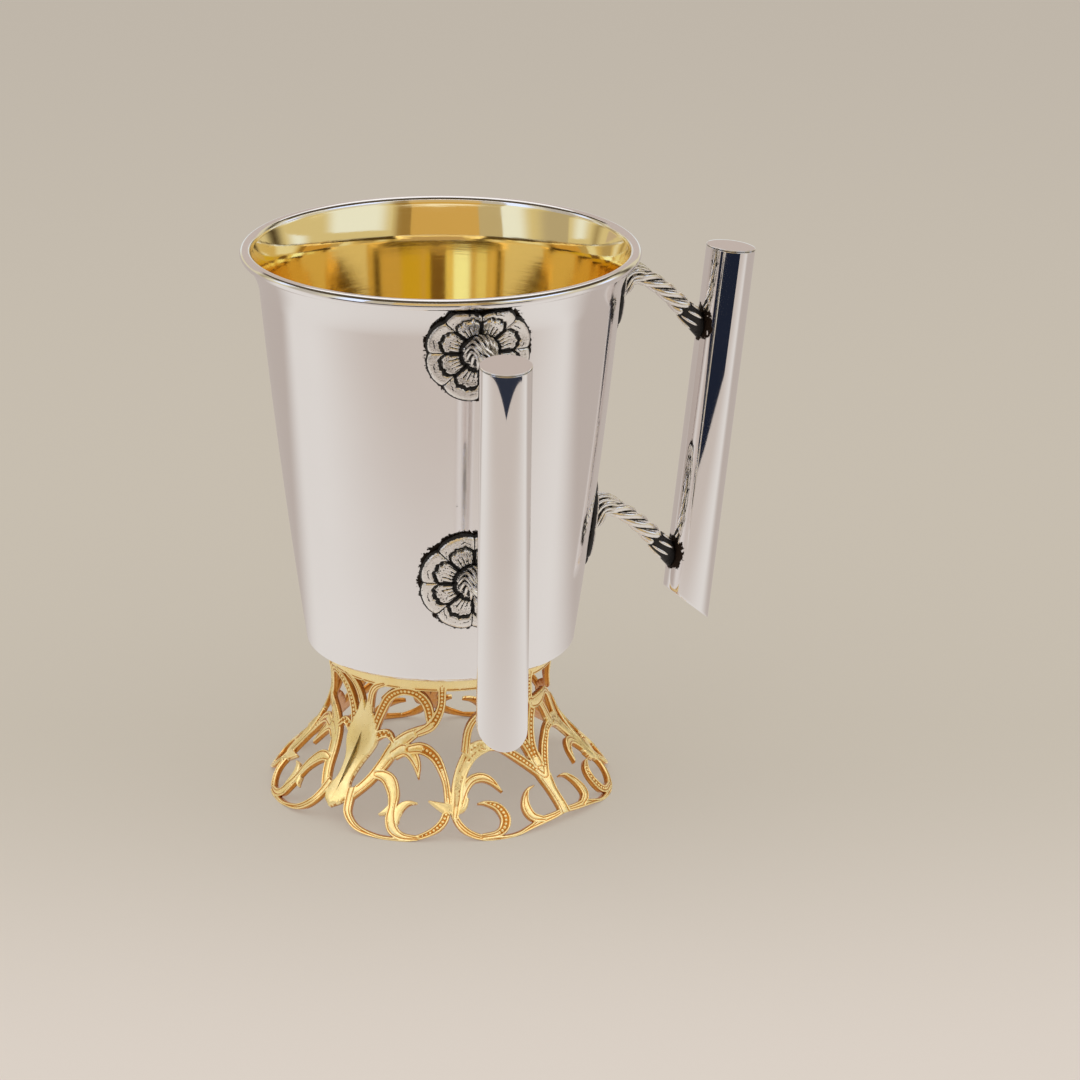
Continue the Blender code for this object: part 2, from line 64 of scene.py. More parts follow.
# Bowl
ROLL_RADIUS = 1.4 * MM
WALL = 1.0 * MM
WALL_TOP_RADIUS = 45.1 * MM  # where the wall starts to turn out into the lip
WALL_BELLY = 0.6 * MM  # how far the middle of the wall stands out from straight
LIP_START = 131.0 * MM
LIP_END_DEG = 26.0  # the lip's slope where it meets the roll, from upright
BASE_RADIUS = 34.1 * MM
BASE_CORNER = 1.6 * MM
ROLL_START_DEG = -107.0  # where the rolled edge leaves the wall, from level
TURNING_RADIUS = 1.0 * MM  # the profile is swept round a circle this small
BOWL_SIDES = 224
ROLL_CENTRE = (RIM_RADIUS - ROLL_RADIUS, CUP_HEIGHT - ROLL_RADIUS)
WALL_START = BASE_HEIGHT + BASE_CORNER

# Foot: radius and height of its outer face, from the floor up
FOOT_PROFILE_MM = ((44.9, 0), (42.1, 4), (38.3, 8), (31.0, 17), (28.1, 27), (29.6, 38.3))
FOOT_SHEET_MM = 1.4
FOOT_TURN_DEG = -14.0  # direction of the first tall stem, from -Y towards +X
QUARTER_DEG = 90.0
QUARTERS = ((0, 1), (180, -1), (180, 1), (360, -1))  # each one's turn, and -1 where it is mirrored
FLAT_MM_PER_DEG = 0.6
FLAT_WIDTH_MM = QUARTER_DEG * FLAT_MM_PER_DEG
RING_DEPTH_MM = 4.2
LEVEL_ZONE_MM = 2.5
STROKE_STEP_MM = 0.5
EDGE_OFFSETS_MM = (0.1, 0.24, 0.4, 0.55, 0.7, 0.9)  # rows of points, from a scroll's edge inwards
FIELD_SPACING_MM = 0.5
INNER_SPACING_MM = 1.6
ROW_SHARE = 0.87  # distance between staggered rows, as a share of the spacing
SAME_POINT_MM = 0.09
SEAM_CLEARANCE_MM = 0.06
RING_STATIONS_DEG = np.linspace(-6, QUARTER_DEG + 6, 103)  # it runs on past the quarter
EDGE_DROP_MM, EDGE_ROUND_MM = 0.42, 0.32  # how far a scroll's edges fall, and over what width
GROOVE_IN_MM, GROOVE_HALF_MM, GROOVE_DEPTH_MM = 0.62, 0.3, 0.22  # the line cut inside each edge
TROUGH_DEPTH_MM = 0.16  # under the beads
FLUTE_DEPTH_MM = 0.25
# the foot sheet's inner face, in shadow behind the openwork, gets this much orange-brown painted
# shade
BACK_PAINTED_SHADE = 0.85
BEAD_MM = 0.92
BEAD_SPACING_MM = 1.02
BEAD_ROWS_APART_MM = 0.8
BEAD_SUNK_MM = 0.28

# Handles
HANDLE_SPREAD_DEG = 98.7
HANDLES = {"front": (-1, 1.1), "side": (1, 0.0)}  # which side of +X, and its grip's sideways lean
ARM_HEIGHTS = {"upper": 128.0 * MM, "lower": 128.0 * MM - 61.0 * MM}  # middles of the rosettes
ROSETTE_RADIUS = 13.2 * MM
PETALS = 8
PETAL_SCALLOP = 0.07
BOSS_RADIUS_MM = 3.9
BOSS_HEIGHT_MM = 1.9
BOSS_TOP_MM = BOSS_HEIGHT_MM - 0.15
ROSETTE_SPOKES = 256
ROSETTE_RINGS = 86
GRIP_RADIUS = 6.26 * MM
GRIP_TOP = (79.0 * MM, CUP_HEIGHT - 7.6 * MM)  # distance from the cup's axis, and height
GRIP_BOTTOM = (68.0 * MM, 39.7 * MM)
GRIP_CUT = 0.66
GRIP_SIDES = 96
ARM_ROUTE_MM = (  # distance out from the boss, height above it, and radius
    (0, 0, 3.4), (3.9, 2.2, 2.8), (9.3, 0.0, 2.4), (15.1, -4.7, 2.45), (20.4, -10.4, 2.8),
    (25.3, -16.2, 2.95),
)
ARM_SIDES = 32


class Tree:
    """A node tree made by calls: in add, capitalised words are inputs and the others settings."""

    def __init__(self, tree, prefix="ShaderNode"):
        self.tree, self.prefix = tree, prefix

    def feed(self, node, inputs):
        """Links or sets a node's inputs."""
        for key, value in inputs.items():
            socket = node.inputs[key.replace("_", " ") if isinstance(key, str) else key]
            if isinstance(value, bpy.types.NodeSocket):
                self.tree.links.new(value, socket)
            else:
                is_shade = socket.type == "RGBA" and len(value) == 3
                socket.default_value = (*value, 1) if is_shade else value
        return node

    def node(self, kind, *values, **named):
        node = self.tree.nodes.new(kind if "Node" in kind else self.prefix + kind)
        for name in filter(str.islower, named):
            setattr(node, name, named[name])
        inputs = {name: value for name, value in named.items() if not name.islower()}
        return self.feed(node, {**dict(enumerate(values)), **inputs})

    def add(self, kind, *values, output=0, **named):
        return self.node(kind, *values, **named).outputs[output]

    def maths(self, operation, *values):
        return self.add("ShaderNodeMath", *values, operation=operation)

    def vector(self, operation, *values, **named):
        return self.add("ShaderNodeVectorMath", *values, operation=operation, **named)

    def fade(self, value, start, end, low=0.0, high=1.0):
        """Goes smoothly from low to high as the value goes from start to end."""
        ends = (start, end, low, high)
        return self.add("ShaderNodeMapRange", value, *ends, interpolation_type="SMOOTHSTEP")

    def mixed(self, factor, first, second):
        node = self.node("ShaderNodeMix", factor, data_type="RGBA")
        return self.feed(node, {6: first, 7: second}).outputs[2]

    def noise(self, vector, scale, detail=2.0, roughness=0.5):
        named = {"Vector": vector, "Scale": scale, "Detail": detail, "Roughness": roughness}
        return self.add("ShaderNodeTexNoise", output="Fac", **named)

    def attribute(self, name):
        return self.add("Attribute", attribute_name=name, output="Fac")

    def give(self, **outputs):
        """Links a group's outputs, and is the group."""
        self.feed(self.out, outputs)
        return self.tree

    def effect(self, name, **inputs):
        """Places a shared effect on the cup's own measures, and gives its outputs."""
        return self.node("Group", node_tree=EFFECTS[name], Point=self.point, **inputs).outputs

    def metal(self, polish, shades, bump, mask=None, darkening=None, **fed):
        """A metal of two shades in patches, with a dark colour where the mask is, and fine bumps.
        The dark colour is soot and grime on the polished silver, the black of the oxidised silver,
        and painted shade on the gilt foot.
        """
        colour = self.mixed(polish["Patchiness"], *shades)
        if mask is not None:
            colour = self.mixed(mask, colour, darkening)
        marks = {"Strength": bump[0], "Distance": bump[1] * MM, "Height": polish["Marks"]}
        normal = self.add("Bump", **marks)
        self.feed(self.shader, {"Base Color": colour, "Normal": normal, **fed})
        return self.material


def new_group(name, prefix, gives, **takes):
    """A group's tree and inputs. An input comes with its value, or its kind where it has none."""
    tree = Tree(bpy.data.node_groups.new(name, f"{prefix}Tree"), prefix)
    made = tree.tree.interface.new_socket
    for label, value in takes.items():
        kind = {float: "Float", int: "Int", tuple: "Vector"}.get(type(value), value)
        socket = made(label.replace("_", " "), in_out="INPUT", socket_type=f"NodeSocket{kind}")
        if kind != value:
            socket.default_value = value
    for label in gives:
        kind = "Float" if prefix == "ShaderNode" else "Geometry"
        made(label, in_out="OUTPUT", socket_type=f"NodeSocket{kind}")
    tree.out = tree.tree.nodes.new("NodeGroupOutput")
    return tree, tree.tree.nodes.new("NodeGroupInput").outputs


# Shared finish effects. Each gives only masks and values.


def soot_group():
    """Flux soot left round the joints: black next to each centre, broken up at its edge."""
    centres = [f"Centre {i}" for i in range(1, 5)]
    tree, given = new_group(
        "joint_soot", "ShaderNode", ["Mask"], Point="Vector", **dict.fromkeys(centres, "Vector"),
        Reach=0.013, Raggedness=0.002, Grain=700.0, Ceiling=1.0,
    )
    point = given["Point"]
    nearest = 1.0
    for label in centres:
        away = tree.vector("DISTANCE", point, given[label], output="Value")
        nearest = tree.maths("MINIMUM", nearest, away)
    grains = tree.noise(point, given["Grain"], 4.0, 0.6), tree.noise(point, 160.0)
    uneven = tree.maths("ADD", *(tree.maths("SUBTRACT", grain, 0.5) for grain in grains))
    height = tree.add("SeparateXYZ", point, output="Z")
    masks = []
    for value, limit in ((nearest, given["Reach"]), (height, given["Ceiling"])):
        ragged = tree.maths("MULTIPLY_ADD", uneven, given["Raggedness"], value)
        masks.append(tree.fade(ragged, limit, tree.maths("SUBTRACT", limit, 0.0002)))
    return tree.give(Mask=tree.maths("MULTIPLY", *masks))


def oxide_and_painted_shade_group():
    """Darkness that stays in the hollows and is rubbed off the high places: the black of the
    oxidised silver, and orange-brown painted shade on the gilt foot.
    """
    tree, given = new_group(
        "hollow_oxide_and_painted_shade", "ShaderNode", ["Mask"], Recess=0.0, Point="Vector", Level=0.5,
        Softness=0.15, Grain=1500.0, Breakup=0.5,
    )
    grain = tree.maths("SUBTRACT", tree.noise(given["Point"], given["Grain"], 3.0, 0.6), 0.5)
    uneven = tree.maths("MULTIPLY_ADD", grain, given["Breakup"], given["Recess"])
    ends = [tree.maths(way, given["Level"], given["Softness"]) for way in ("SUBTRACT", "ADD")]
    return tree.give(Mask=tree.fade(uneven, *ends))


def polish_group():
    """Fine marks left by polishing, drawn out by Stretch, and slow uneven patches."""
    tree, given = new_group(
        "polish_marks", "ShaderNode", ["Marks", "Patchiness"], Point="Vector", Stretch=(1, 1, 1),
        Grain=900.0, Patches=40.0,
    )
    drawn = tree.vector("MULTIPLY", given["Point"], given["Stretch"])
    marks = tree.noise(drawn, given["Grain"], 3.0, 0.65)
    return tree.give(Marks=marks, Patchiness=tree.noise(given["Point"], given["Patches"]))


def specks_group():
    """Scattered tiny pits."""
    tree, given = new_group(
        "scattered_specks", "ShaderNode", ["Mask"], Point="Vector", Spacing=90.0, Size=0.05
    )
    cells = tree.add("TexVoronoi", Vector=given["Point"], Scale=given["Spacing"], output="Distance")
    return tree.give(Mask=tree.fade(cells, given["Size"], 0.0))


EFFECTS = {
    "soot": soot_group(), "oxide_and_painted_shade": oxide_and_painted_shade_group(), "polish": polish_group(),
    "specks": specks_group(),
}


# Materials


def new_material(name):
    material = bpy.data.materials.new(name)
    material.use_nodes = True
    tree = Tree(material.node_tree)
    tree.material = material
    tree.shader, tree.out = (tree.tree.nodes[n] for n in ("Principled BSDF", "Material Output"))
    return tree


def new_metal(name):
    """A metal's tree, with the point of the surface in the cup's own measures."""
    tree = new_material(name)
    tree.shader.inputs["Metallic"].default_value = 1.0
    spot = tree.add("TexCoord", output="Object")
    tree.point = tree.add("Mapping", Vector=spot, Location=-CUP_AXIS)
    return tree


def handle_turn(direction):
    return Matrix.Rotation(radians(direction * HANDLE_SPREAD_DEG / 2), 4, "Z")


def arm_centres(spot_beside_cup):
    """The soot's centres, one for each arm, about the cup's axis."""
    spots = [
        handle_turn(direction) @ Vector(spot_beside_cup(height))
        for direction, _ in HANDLES.values() for height in ARM_HEIGHTS.values()
    ]
    return {f"Centre {i}": spot for i, spot in enumerate(spots, 1)}


def polished_silver():
    tree = new_metal("polished_silver")
    polish = tree.effect("polish", Stretch=(1, 1, 6), Grain=500.0)
    soot = tree.effect(
        "soot", Reach=ROSETTE_RADIUS + 0.3 * MM, Raggedness=3.4 * MM, Grain=1100.0,
        Ceiling=float(OUTER_WALL[-1, 1]) - 0.4 * MM,
        **arm_centres(lambda height: on_wall(0, 0, height, 0)),
    )
    specks = tree.effect("specks", Spacing=60.0, Size=0.018)
    dirty = tree.maths("MAXIMUM", soot["Mask"], specks["Mask"])
    smooth = tree.fade(polish["Patchiness"], 0.3, 0.7, 0.07, 0.11)
    return tree.metal(
        polish, ((0.91, 0.88, 0.875), (0.95, 0.925, 0.92)), (0.02, 0.1), dirty,
        (0.03, 0.022, 0.018), Roughness=tree.maths("MULTIPLY_ADD", dirty, 0.5, smooth),
    )


def gilt_lining():
    tree = new_metal("gilt_lining")
    polish = tree.effect("polish", Stretch=(0.05, 0.05, 1), Grain=1500.0, Patches=25.0)
    rough = tree.fade(polish["Marks"], 0.3, 0.7, 0.045, 0.085)
    shades = (0.90, 0.74, 0.39), (0.94, 0.78, 0.45)
    return tree.metal(polish, shades, (0.05, 0.1), Roughness=rough)


def gilt_casting():
    tree = new_metal("gilt_casting")
    polish = tree.effect("polish", Grain=1600.0, Patches=120.0)
    # Orange-brown painted shade in the foot's grooves, at its scroll edges, under its beads and
    # over its inner face, from its recess values.
    oxide_and_painted_shade = tree.effect(
        "oxide_and_painted_shade", Recess=tree.attribute("recess"), Level=0.62, Softness=0.3, Grain=1300.0,
        Breakup=0.35,
    )
    rough = tree.fade(polish["Marks"], 0.3, 0.7, 0.26, 0.40)
    shades = (0.96, 0.72, 0.29), (1.0, 0.86, 0.50)
    orange_brown_painted_shade = (0.56, 0.22, 0.035)
    return tree.metal(polish, shades, (0.35, 0.08), oxide_and_painted_shade["Mask"], orange_brown_painted_shade, Roughness=rough)


def oxidised_silver(name, grain, stipple, dots):
    tree = new_metal(name)
    specks = tree.effect("specks", Spacing=1500.0, Size=0.42)
    recess = tree.maths("MULTIPLY_ADD", specks["Mask"], dots, tree.attribute("recess"))
    black = tree.effect("oxide_and_painted_shade", Recess=recess, Softness=0.08, Grain=grain, Breakup=0.9)["Mask"]
    polish = tree.effect("polish", Grain=1800.0, Patches=300.0)
    return tree.metal(
        polish, ((0.80, 0.75, 0.70), (0.96, 0.93, 0.90)), (stipple, 0.12), black,
        (0.012, 0.010, 0.010), Roughness=tree.maths("MULTIPLY_ADD", black, 0.35, 0.22),
        Metallic=tree.maths("MULTIPLY_ADD", black, -0.8, 1.0),
    )


def grip_silver():
    tree = new_metal("grip_silver")
    polish = tree.effect("polish", Stretch=(1, 1, 0.3), Grain=700.0)
    soot = tree.effect(
        "soot", Reach=4.6 * MM, Raggedness=5.0 * MM, Grain=800.0, **arm_centres(grip_joint)
    )
    dirty = tree.maths("MAXIMUM", soot["Mask"], tree.attribute("recess"))
    smooth = tree.fade(polish["Patchiness"], 0.3, 0.7, 0.025, 0.05)
    return tree.metal(
        polish, ((0.90, 0.87, 0.865), (0.95, 0.93, 0.925)), (0.015, 0.1), dirty,
        (0.03, 0.02, 0.015), Roughness=tree.maths("MULTIPLY_ADD", dirty, 0.5, smooth),
    )


# Meshes


def put_in_scene(name, data):
    obj = bpy.data.objects.new(name, data)
    bpy.context.scene.collection.objects.link(obj)
    return obj


def finish_piece(mesh, name, slot, *nodes):
    """Puts a finished mesh on the cup's axis as a piece that stands for these solids."""
    mesh.transform(Matrix.Translation(CUP_AXIS))
    mesh.name = name
    obj = put_in_scene(name, mesh)
    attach(obj, "root")
    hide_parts(*nodes)


def make_mesh(name, points, faces=(), material=None, edges=(), smooth=True, **values):
    """A mesh with named values at its points."""
    mesh = bpy.data.meshes.new(name)
    mesh.from_pydata([tuple(p) for p in points], edges, faces)
    for label, numbers in values.items():
        numbers = np.asarray(numbers, np.float32)
        kind, slot = ("FLOAT_VECTOR", "vector") if numbers.ndim > 1 else ("FLOAT", "value")
        mesh.attributes.new(label, kind, "POINT").data.foreach_set(slot, numbers.ravel())
    if material:
        mesh.materials.append(material)
    if smooth:
        mesh.shade_smooth()
    return mesh


def line_edges(count, first=0):
    return [(first + i, first + i + 1) for i in range(count - 1)]


def ring_faces(rows, sides, capped=True):
    """Faces between rings of points, row upon row, and over both ends."""
    faces = [
        (row + i, row + (i + 1) % sides, row + sides + (i + 1) % sides, row + sides + i)
        for row in range(0, (rows - 1) * sides, sides) for i in range(sides)
    ]
    if capped:
        last = (rows - 1) * sides
        faces += [list(range(sides))[::-1], list(range(last, last + sides))]
    return faces


def grown(name, source, tree, values):
    """The plain mesh that a geometry tree makes from a source mesh with these input values."""
    obj = put_in_scene(name, source)
    modifier = obj.modifiers.new(name, "NODES")
    modifier.node_group = tree
    for item in tree.interface.items_tree:
        if item.in_out == "INPUT" and item.name in values:
            modifier[item.identifier] = values[item.name]
    graph = bpy.context.evaluated_depsgraph_get()
    mesh = bpy.data.meshes.new_from_object(
        obj.evaluated_get(graph), preserve_all_data_layers=True, depsgraph=graph
    )
    bpy.data.objects.remove(obj)
    return mesh


def joined(name, meshes):
    """Several meshes as one, with their values and materials kept."""
    made = [put_in_scene(name, mesh) for mesh in meshes]
    with bpy.context.temp_override(active_object=made[0], selected_editable_objects=made):
        bpy.ops.object.join()
    mesh = made[0].data
    bpy.data.objects.remove(made[0])
    return mesh


def spline(points):
    """A smooth path through the points, which may carry further columns such as a width."""
    points = np.array(points, float)
    held = np.vstack([2 * points[0] - points[1], points, 2 * points[-1] - points[-2]])
    t = np.linspace(0, 1, 12, endpoint=False)[:, None]
    spans = []
    for p0, p1, p2, p3 in zip(held, held[1:], held[2:], held[3:]):
        bend = (2 * p0 - 5 * p1 + 4 * p2 - p3) * t**2 + (3 * p1 - p0 - 3 * p2 + p3) * t**3
        spans.append(p1 + 0.5 * ((p2 - p0) * t + bend))
    return np.vstack([*spans, points[-1:]])


def along(path, distances, targets):
    return np.stack([np.interp(targets, distances, column) for column in path.T], axis=1)


def running_length(path):
    return np.concatenate([[0], np.cumsum(np.linalg.norm(np.diff(path, axis=0), axis=1))])


def eased(value, start, end):
    """0 at start, 1 at end, smooth between, for numbers and arrays."""
    t = np.clip((value - start) / (end - start), 0, 1)
    return t * t * (3 - 2 * t)


def hump(value, middle, half_width):
    """1 at the middle, smoothly 0 at half_width from it."""
    return eased(np.abs(value - middle), half_width, 0)


# Bowl


def arc(centre, radius, start_deg, end_deg, steps):
    angles = np.radians(np.linspace(start_deg, end_deg, steps + 1))
    return [(centre[0] + radius * cos(a), centre[1] + radius * sin(a)) for a in angles]


def run(start, end, steps):
    """Points between two places, ends left out."""
    return [tuple(np.array(start) + (np.array(end) - start) * i / steps) for i in range(1, steps)]


def wall_curve(inset, top, steps=20):
    """The slightly full wall, inset from the outer face, and the lip that turns out to the top."""
    share = np.linspace(0, 1, steps + 1)
    radius = BASE_RADIUS - inset + (WALL_TOP_RADIUS - BASE_RADIUS) * share
    radius += 4 * WALL_BELLY * share * (1 - share)
    wall = np.stack([radius, WALL_START + (LIP_START - WALL_START) * share], axis=1)
    start, end = wall[-1], np.array(top)
    reach = np.linalg.norm(end - start) / 3
    upward = (wall[-1] - wall[-2]) / np.linalg.norm(wall[-1] - wall[-2])
    outward = np.array([sin(radians(LIP_END_DEG)), cos(radians(LIP_END_DEG))])
    near, far = start + reach * upward, end - reach * outward
    t = share[1:, None]
    lip = start * (1 - t)**3 + 3 * near * t * (1 - t)**2 + 3 * far * t**2 * (1 - t) + end * t**3
    return np.vstack([wall, lip])


def bowl_profile():
    """Radius and height from under the middle, up the outside, then down the gilt inside."""
    floor = (0, BASE_HEIGHT + WALL)
    outside, inside = (
        arc((BASE_RADIUS - inset - BASE_CORNER, BASE_HEIGHT + inset + BASE_CORNER), BASE_CORNER,
            start_deg, -90 - start_deg, 8)
        for inset, start_deg in ((0, -90), (WALL, 0))
    )
    roll = arc(ROLL_CENTRE, ROLL_RADIUS, ROLL_START_DEG, 180, 30)
    under = (0, BASE_HEIGHT)
    silver = [
        under, *run(under, outside[0], 6), *outside, *wall_curve(0, roll[0])[1:-1], *roll
    ]
    gilt = [*wall_curve(WALL, roll[-1])[::-1][1:-2], *inside, *run(inside[-1], floor, 6), floor]
    return silver, gilt


def turned_bowl_tree():
    """Turns a profile round the vertical axis, and gives its lined part the lining's metal."""
    tree, given = new_group(
        "turned_bowl", "GeometryNode", ["Bowl"], Profile="Geometry", Turning_Radius=TURNING_RADIUS,
        Sides=BOWL_SIDES, Outside="Material", Lining="Material",
    )
    circle = tree.add(
        "CurvePrimitiveCircle", Resolution=given["Sides"], Radius=given["Turning Radius"]
    )
    upright = tree.add("SetCurveNormal", circle, mode="Z_UP")
    turned = tree.add("CurveToMesh", upright, tree.add("MeshToCurve", given["Profile"]))
    closed = tree.add("MergeByDistance", turned, Distance=0.01 * MM)
    real = tree.add("RealizeInstances", tree.add("SetShadeSmooth", closed))
    silver = tree.add("SetMaterial", real, Material=given["Outside"])
    lined = tree.maths("GREATER_THAN", tree.add("InputNamedAttribute", "lining"), 0.3)
    return tree.give(
        Bowl=tree.add("SetMaterial", silver, Selection=lined, Material=given["Lining"])
    )


def build_bowl(outside, lining):
    silver, gilt = bowl_profile()
    points = [(radius - TURNING_RADIUS, -height, 0) for radius, height in [*silver, *gilt]]
    lined = [0.0] * len(silver) + [1.0] * len(gilt)
    profile = make_mesh("bowl_profile", points, edges=line_edges(len(points)), lining=lined)
    bowl = grown("bowl", profile, turned_bowl_tree(), {"Outside": outside, "Lining": lining})
    finish_piece(bowl, "lined_bowl", "polished_silver", "bowl")


# Openwork foot. A quarter is drawn flat as scrolls, in degrees round the foot from a tall stem and
# millimetres up its face, each point with the scroll's width there. Later scrolls lie on earlier
# ones. The quarter is mirrored and repeated, wrapped round the flared face and given thickness.

SCROLLS = {
    "branch": [
        (6, 9.4, 2.6), (11.5, 14.6, 2.8), (15.5, 19.5, 3.2), (19.5, 24, 3.6), (25, 26.8, 3.4),
        (30, 28.5, 2.6), (35, 29.6, 2),
    ],
    "stem_rib": [(1.5, 28, 3), (2.6, 33, 2), (4.5, 36.8, 1.9), (8, 39.2, 1.9), (13.5, 40.6, 1.6)],
    "crown_arch": [
        (6.2, 26.5, 2.4), (9.3, 31.5, 2.5), (15, 36.6, 2.5), (22.5, 39.1, 2.4), (30.5, 38.8, 2.5),
        (35.8, 35.8, 2.6), (38, 30.8, 2.3),
    ],
    "bud": [(7, 25.3, 2.4), (11.5, 26.9, 2.3), (15.5, 27.2, 2), (19, 25.5, 1.2)],
    "first_lobe": [
        (5.8, 12, 2.6), (6.6, 9, 2.5), (8.6, 5.2, 2.2), (13.4, 2.2, 1.8), (20, 0.8, 1.2),
        (26, 0.4, 1.1), (33, 0.8, 1.4), (39.4, 2.8, 1.9), (43.4, 5.4, 2.2), (45.4, 9, 2),
    ],
    "tall_stem": [
        (0, 5.6, 0.5), (0, 8, 6.2), (0, 11, 6.0), (0, 14.5, 4.6), (0, 19, 6.0), (0, 24.5, 10.2),
        (0, 28.5, 7.6), (0, 31.5, 5.6),
    ],
    "hook_leaf": [
        (20, 22.5, 3), (24.5, 24, 3.4), (28.5, 23.2, 3), (31.6, 20.8, 2.3), (33.4, 17, 0.4),
    ],
    "ring_link": [
        (31, 28.3, 2), (37.5, 30.2, 2.6), (41, 32.6, 2.4), (43.3, 36, 2.1), (43.6, 41, 2.2),
    ],
    "left_arch": [
        (27.5, 24.2, 2.6), (32.5, 24.7, 3), (37.2, 23.9, 2.9), (41.5, 21.6, 2.5), (44.8, 16.8, 1.9),
        (45.7, 11.5, 1.9), (45.6, 8, 1.9),
    ],
    "horn_leaf": [
        (27, 4.5, 1.8), (26.9, 7, 2.2), (28.2, 9.3, 2.1), (30.7, 10.5, 1.3), (34, 10.6, 0.3),
    ],
    "s_curve_barb": [(23.5, 8.3, 2), (22, 7.3, 1.3), (20.2, 6.6, 0.3)],
    "s_curve": [
        (14.5, 16.8, 2.4), (18, 16.7, 3.2), (21.3, 15.5, 3.7), (24, 12.4, 3.2), (24.7, 9, 2.5),
        (25, 6, 2.9), (26.6, 3, 3), (30, 1.4, 2.2), (35, 1.1, 1.6),
    ],
    "thorn": [(38.2, 11.3, 0.4), (41.5, 10.3, 1.7), (45, 9.3, 3)],
    "second_lobe": [
        (47.5, 10, 1.6), (47.9, 7.5, 1.8), (49.5, 4.7, 1.9), (52.6, 2.4, 1.9), (57.4, 0.8, 1.7),
        (63.5, 0.3, 1.2), (69, 0.6, 1), (74, 1.7, 1.4), (79, 2.7, 2.1), (85, 3.1, 1.8),
        (91, 3.7, 1.6),
    ],
    "fan_spur": [(48.5, 8.6, 1.8), (51, 9.6, 2.2), (53.2, 11.8, 1.2)],
    "fan_leaf": [
        (50.2, 9.5, 1.8), (52.5, 14, 2.4), (56, 16.5, 2.4), (60.7, 17, 2.4), (64.7, 15.6, 1.8),
        (67.9, 12.4, 0.4),
    ],
    "right_fan": [
        (47.9, 6.8, 1.8), (49, 11, 2.9), (50.3, 16, 3.2), (54, 20.8, 3.5), (59.6, 23.9, 3.9),
        (69, 25, 2.8),
    ],
    "beaded_curl": [
        (56.9, 10.2, 0.3), (60.3, 10.1, 1.3), (64.3, 8.7, 2.3), (66, 5.8, 2.8), (64.8, 3.1, 2.6),
        (61.8, 1.6, 2), (57, 1.3, 1.6),
    ],
    "plain_curl": [
        (82.6, 12.1, 0.3), (79, 11.5, 1), (76.3, 9.3, 1.9), (75.3, 6.6, 2.7), (76.4, 4.3, 2.5),
        (79.8, 3.1, 1.8),
    ],
    "short_stem": [(90, 3, 3.4), (90, 9, 3.2), (90, 13.5, 4.6), (90, 18, 5.6)],
    "diagonal": [
        (89.5, 13.5, 2.4), (85.5, 17, 2.4), (81.5, 19.8, 2.5), (76.5, 22.3, 2.3), (71.5, 24, 2.2),
        (64, 24.6, 2.6),
    ],
    "fork": [(89.5, 17, 3), (88.5, 21.5, 2.6), (85.5, 26, 2.4), (82.5, 29.5, 2.6), (80.3, 31.8, 3)],
    "fork_link": [(80.5, 31.5, 2.2), (82.9, 33.4, 2.2), (84.7, 37, 2), (86.1, 41, 2.2)],
    "lower_band": [(73.5, 31.6, 2), (69.5, 28.8, 2), (66.3, 25, 2.6)],
    "upper_band": [
        (80.5, 32, 3), (76, 31.8, 3.6), (70.5, 32.2, 3.2), (65.5, 32.8, 2), (60.5, 31.4, 1.9),
        (57, 28.6, 2), (54.9, 23.6, 2.2),
    ],
}
BEADED = {  # the stretch of a scroll that carries beads, as shares of its length, and its rows
    "crown_arch": (0.07, 1.0, 1), "bud": (0.15, 0.86, 2), "ring_link": (0.30, 0.95, 1),
    "left_arch": (0.16, 0.50, 1), "first_lobe": (0.72, 0.97, 1), "beaded_curl": (0.12, 0.80, 1),
    "diagonal": (0.12, 0.92, 1), "fork": (0.10, 0.95, 1), "fork_link": (0.15, 0.95, 1),
}
FLUTED, FLUTES = "right_fan", 3
SMOOTH = ("tall_stem", "thorn", "horn_leaf", "s_curve_barb", "fan_spur")


FOOT_CURVE = spline(FOOT_PROFILE_MM)  # the outer face's radius and height, in millimetres
FOOT_RISE = running_length(FOOT_CURVE)  # how far up the face each of those points is
RING_TOP_MM = FOOT_RISE[-1]


def mm_per_deg(rise):
    return radians(1) * np.interp(rise, FOOT_RISE, FOOT_CURVE[:, 0])


def even_stations(points):
    """A scroll's middle line at even steps: degrees, rise and width."""
    path = spline(points)
    lengths = running_length(path[:, :2] * (mm_per_deg(path[:, 1]).mean(), 1))
    count = max(2, round(lengths[-1] / STROKE_STEP_MM))
    return along(path, lengths, np.linspace(0, lengths[-1], count + 1))


def all_strokes():
    """Every scroll's middle line, with the plain ring under the bowl as one more."""
    middle = RING_TOP_MM - RING_DEPTH_MM / 2
    ring = [(deg, middle, RING_DEPTH_MM) for deg in RING_STATIONS_DEG]
    return {"ring": np.array(ring), **{n: even_stations(p) for n, p in SCROLLS.items()}}


STROKES = all_strokes()


def sideways(path):
    """One millimetre to the left of the path at each station, in degrees and rise."""
    per_deg = mm_per_deg(path[:, 1])
    direction = np.stack([np.gradient(path[:, 0]) * per_deg, np.gradient(path[:, 1])], axis=1)
    direction /= np.linalg.norm(direction, axis=1)[:, None]
    return np.stack([-direction[:, 1] / per_deg, direction[:, 0]], axis=1)


def across_stroke(places, path):
    """How far each place is from a stroke's middle line, its half width and place along it."""
    start, step = path[:-1], np.diff(path, axis=0)
    per_deg = mm_per_deg(start[:, 1])
    scale = np.stack([per_deg, np.ones_like(per_deg)], axis=1)
    step_mm = step[:, :2] * scale
    offset = (places[:, None, :2] - start[None, :, :2]) * scale
    t = np.clip((offset * step_mm).sum(2) / (step_mm**2).sum(1), 0, 1)
    away = np.linalg.norm(offset - t[..., None] * step_mm, axis=2)
    nearest = away.argmin(1)
    rows = np.arange(len(places))
    share = t[rows, nearest]
    (step_x, step_y), (x, y) = step_mm[nearest].T, offset[rows, nearest].T
    across = away[rows, nearest] * np.sign(step_x * y - step_y * x)
    half_width = (start[nearest, 2] + share * step[nearest, 2]) / 2
    return across, half_width, (nearest + share) / len(step)


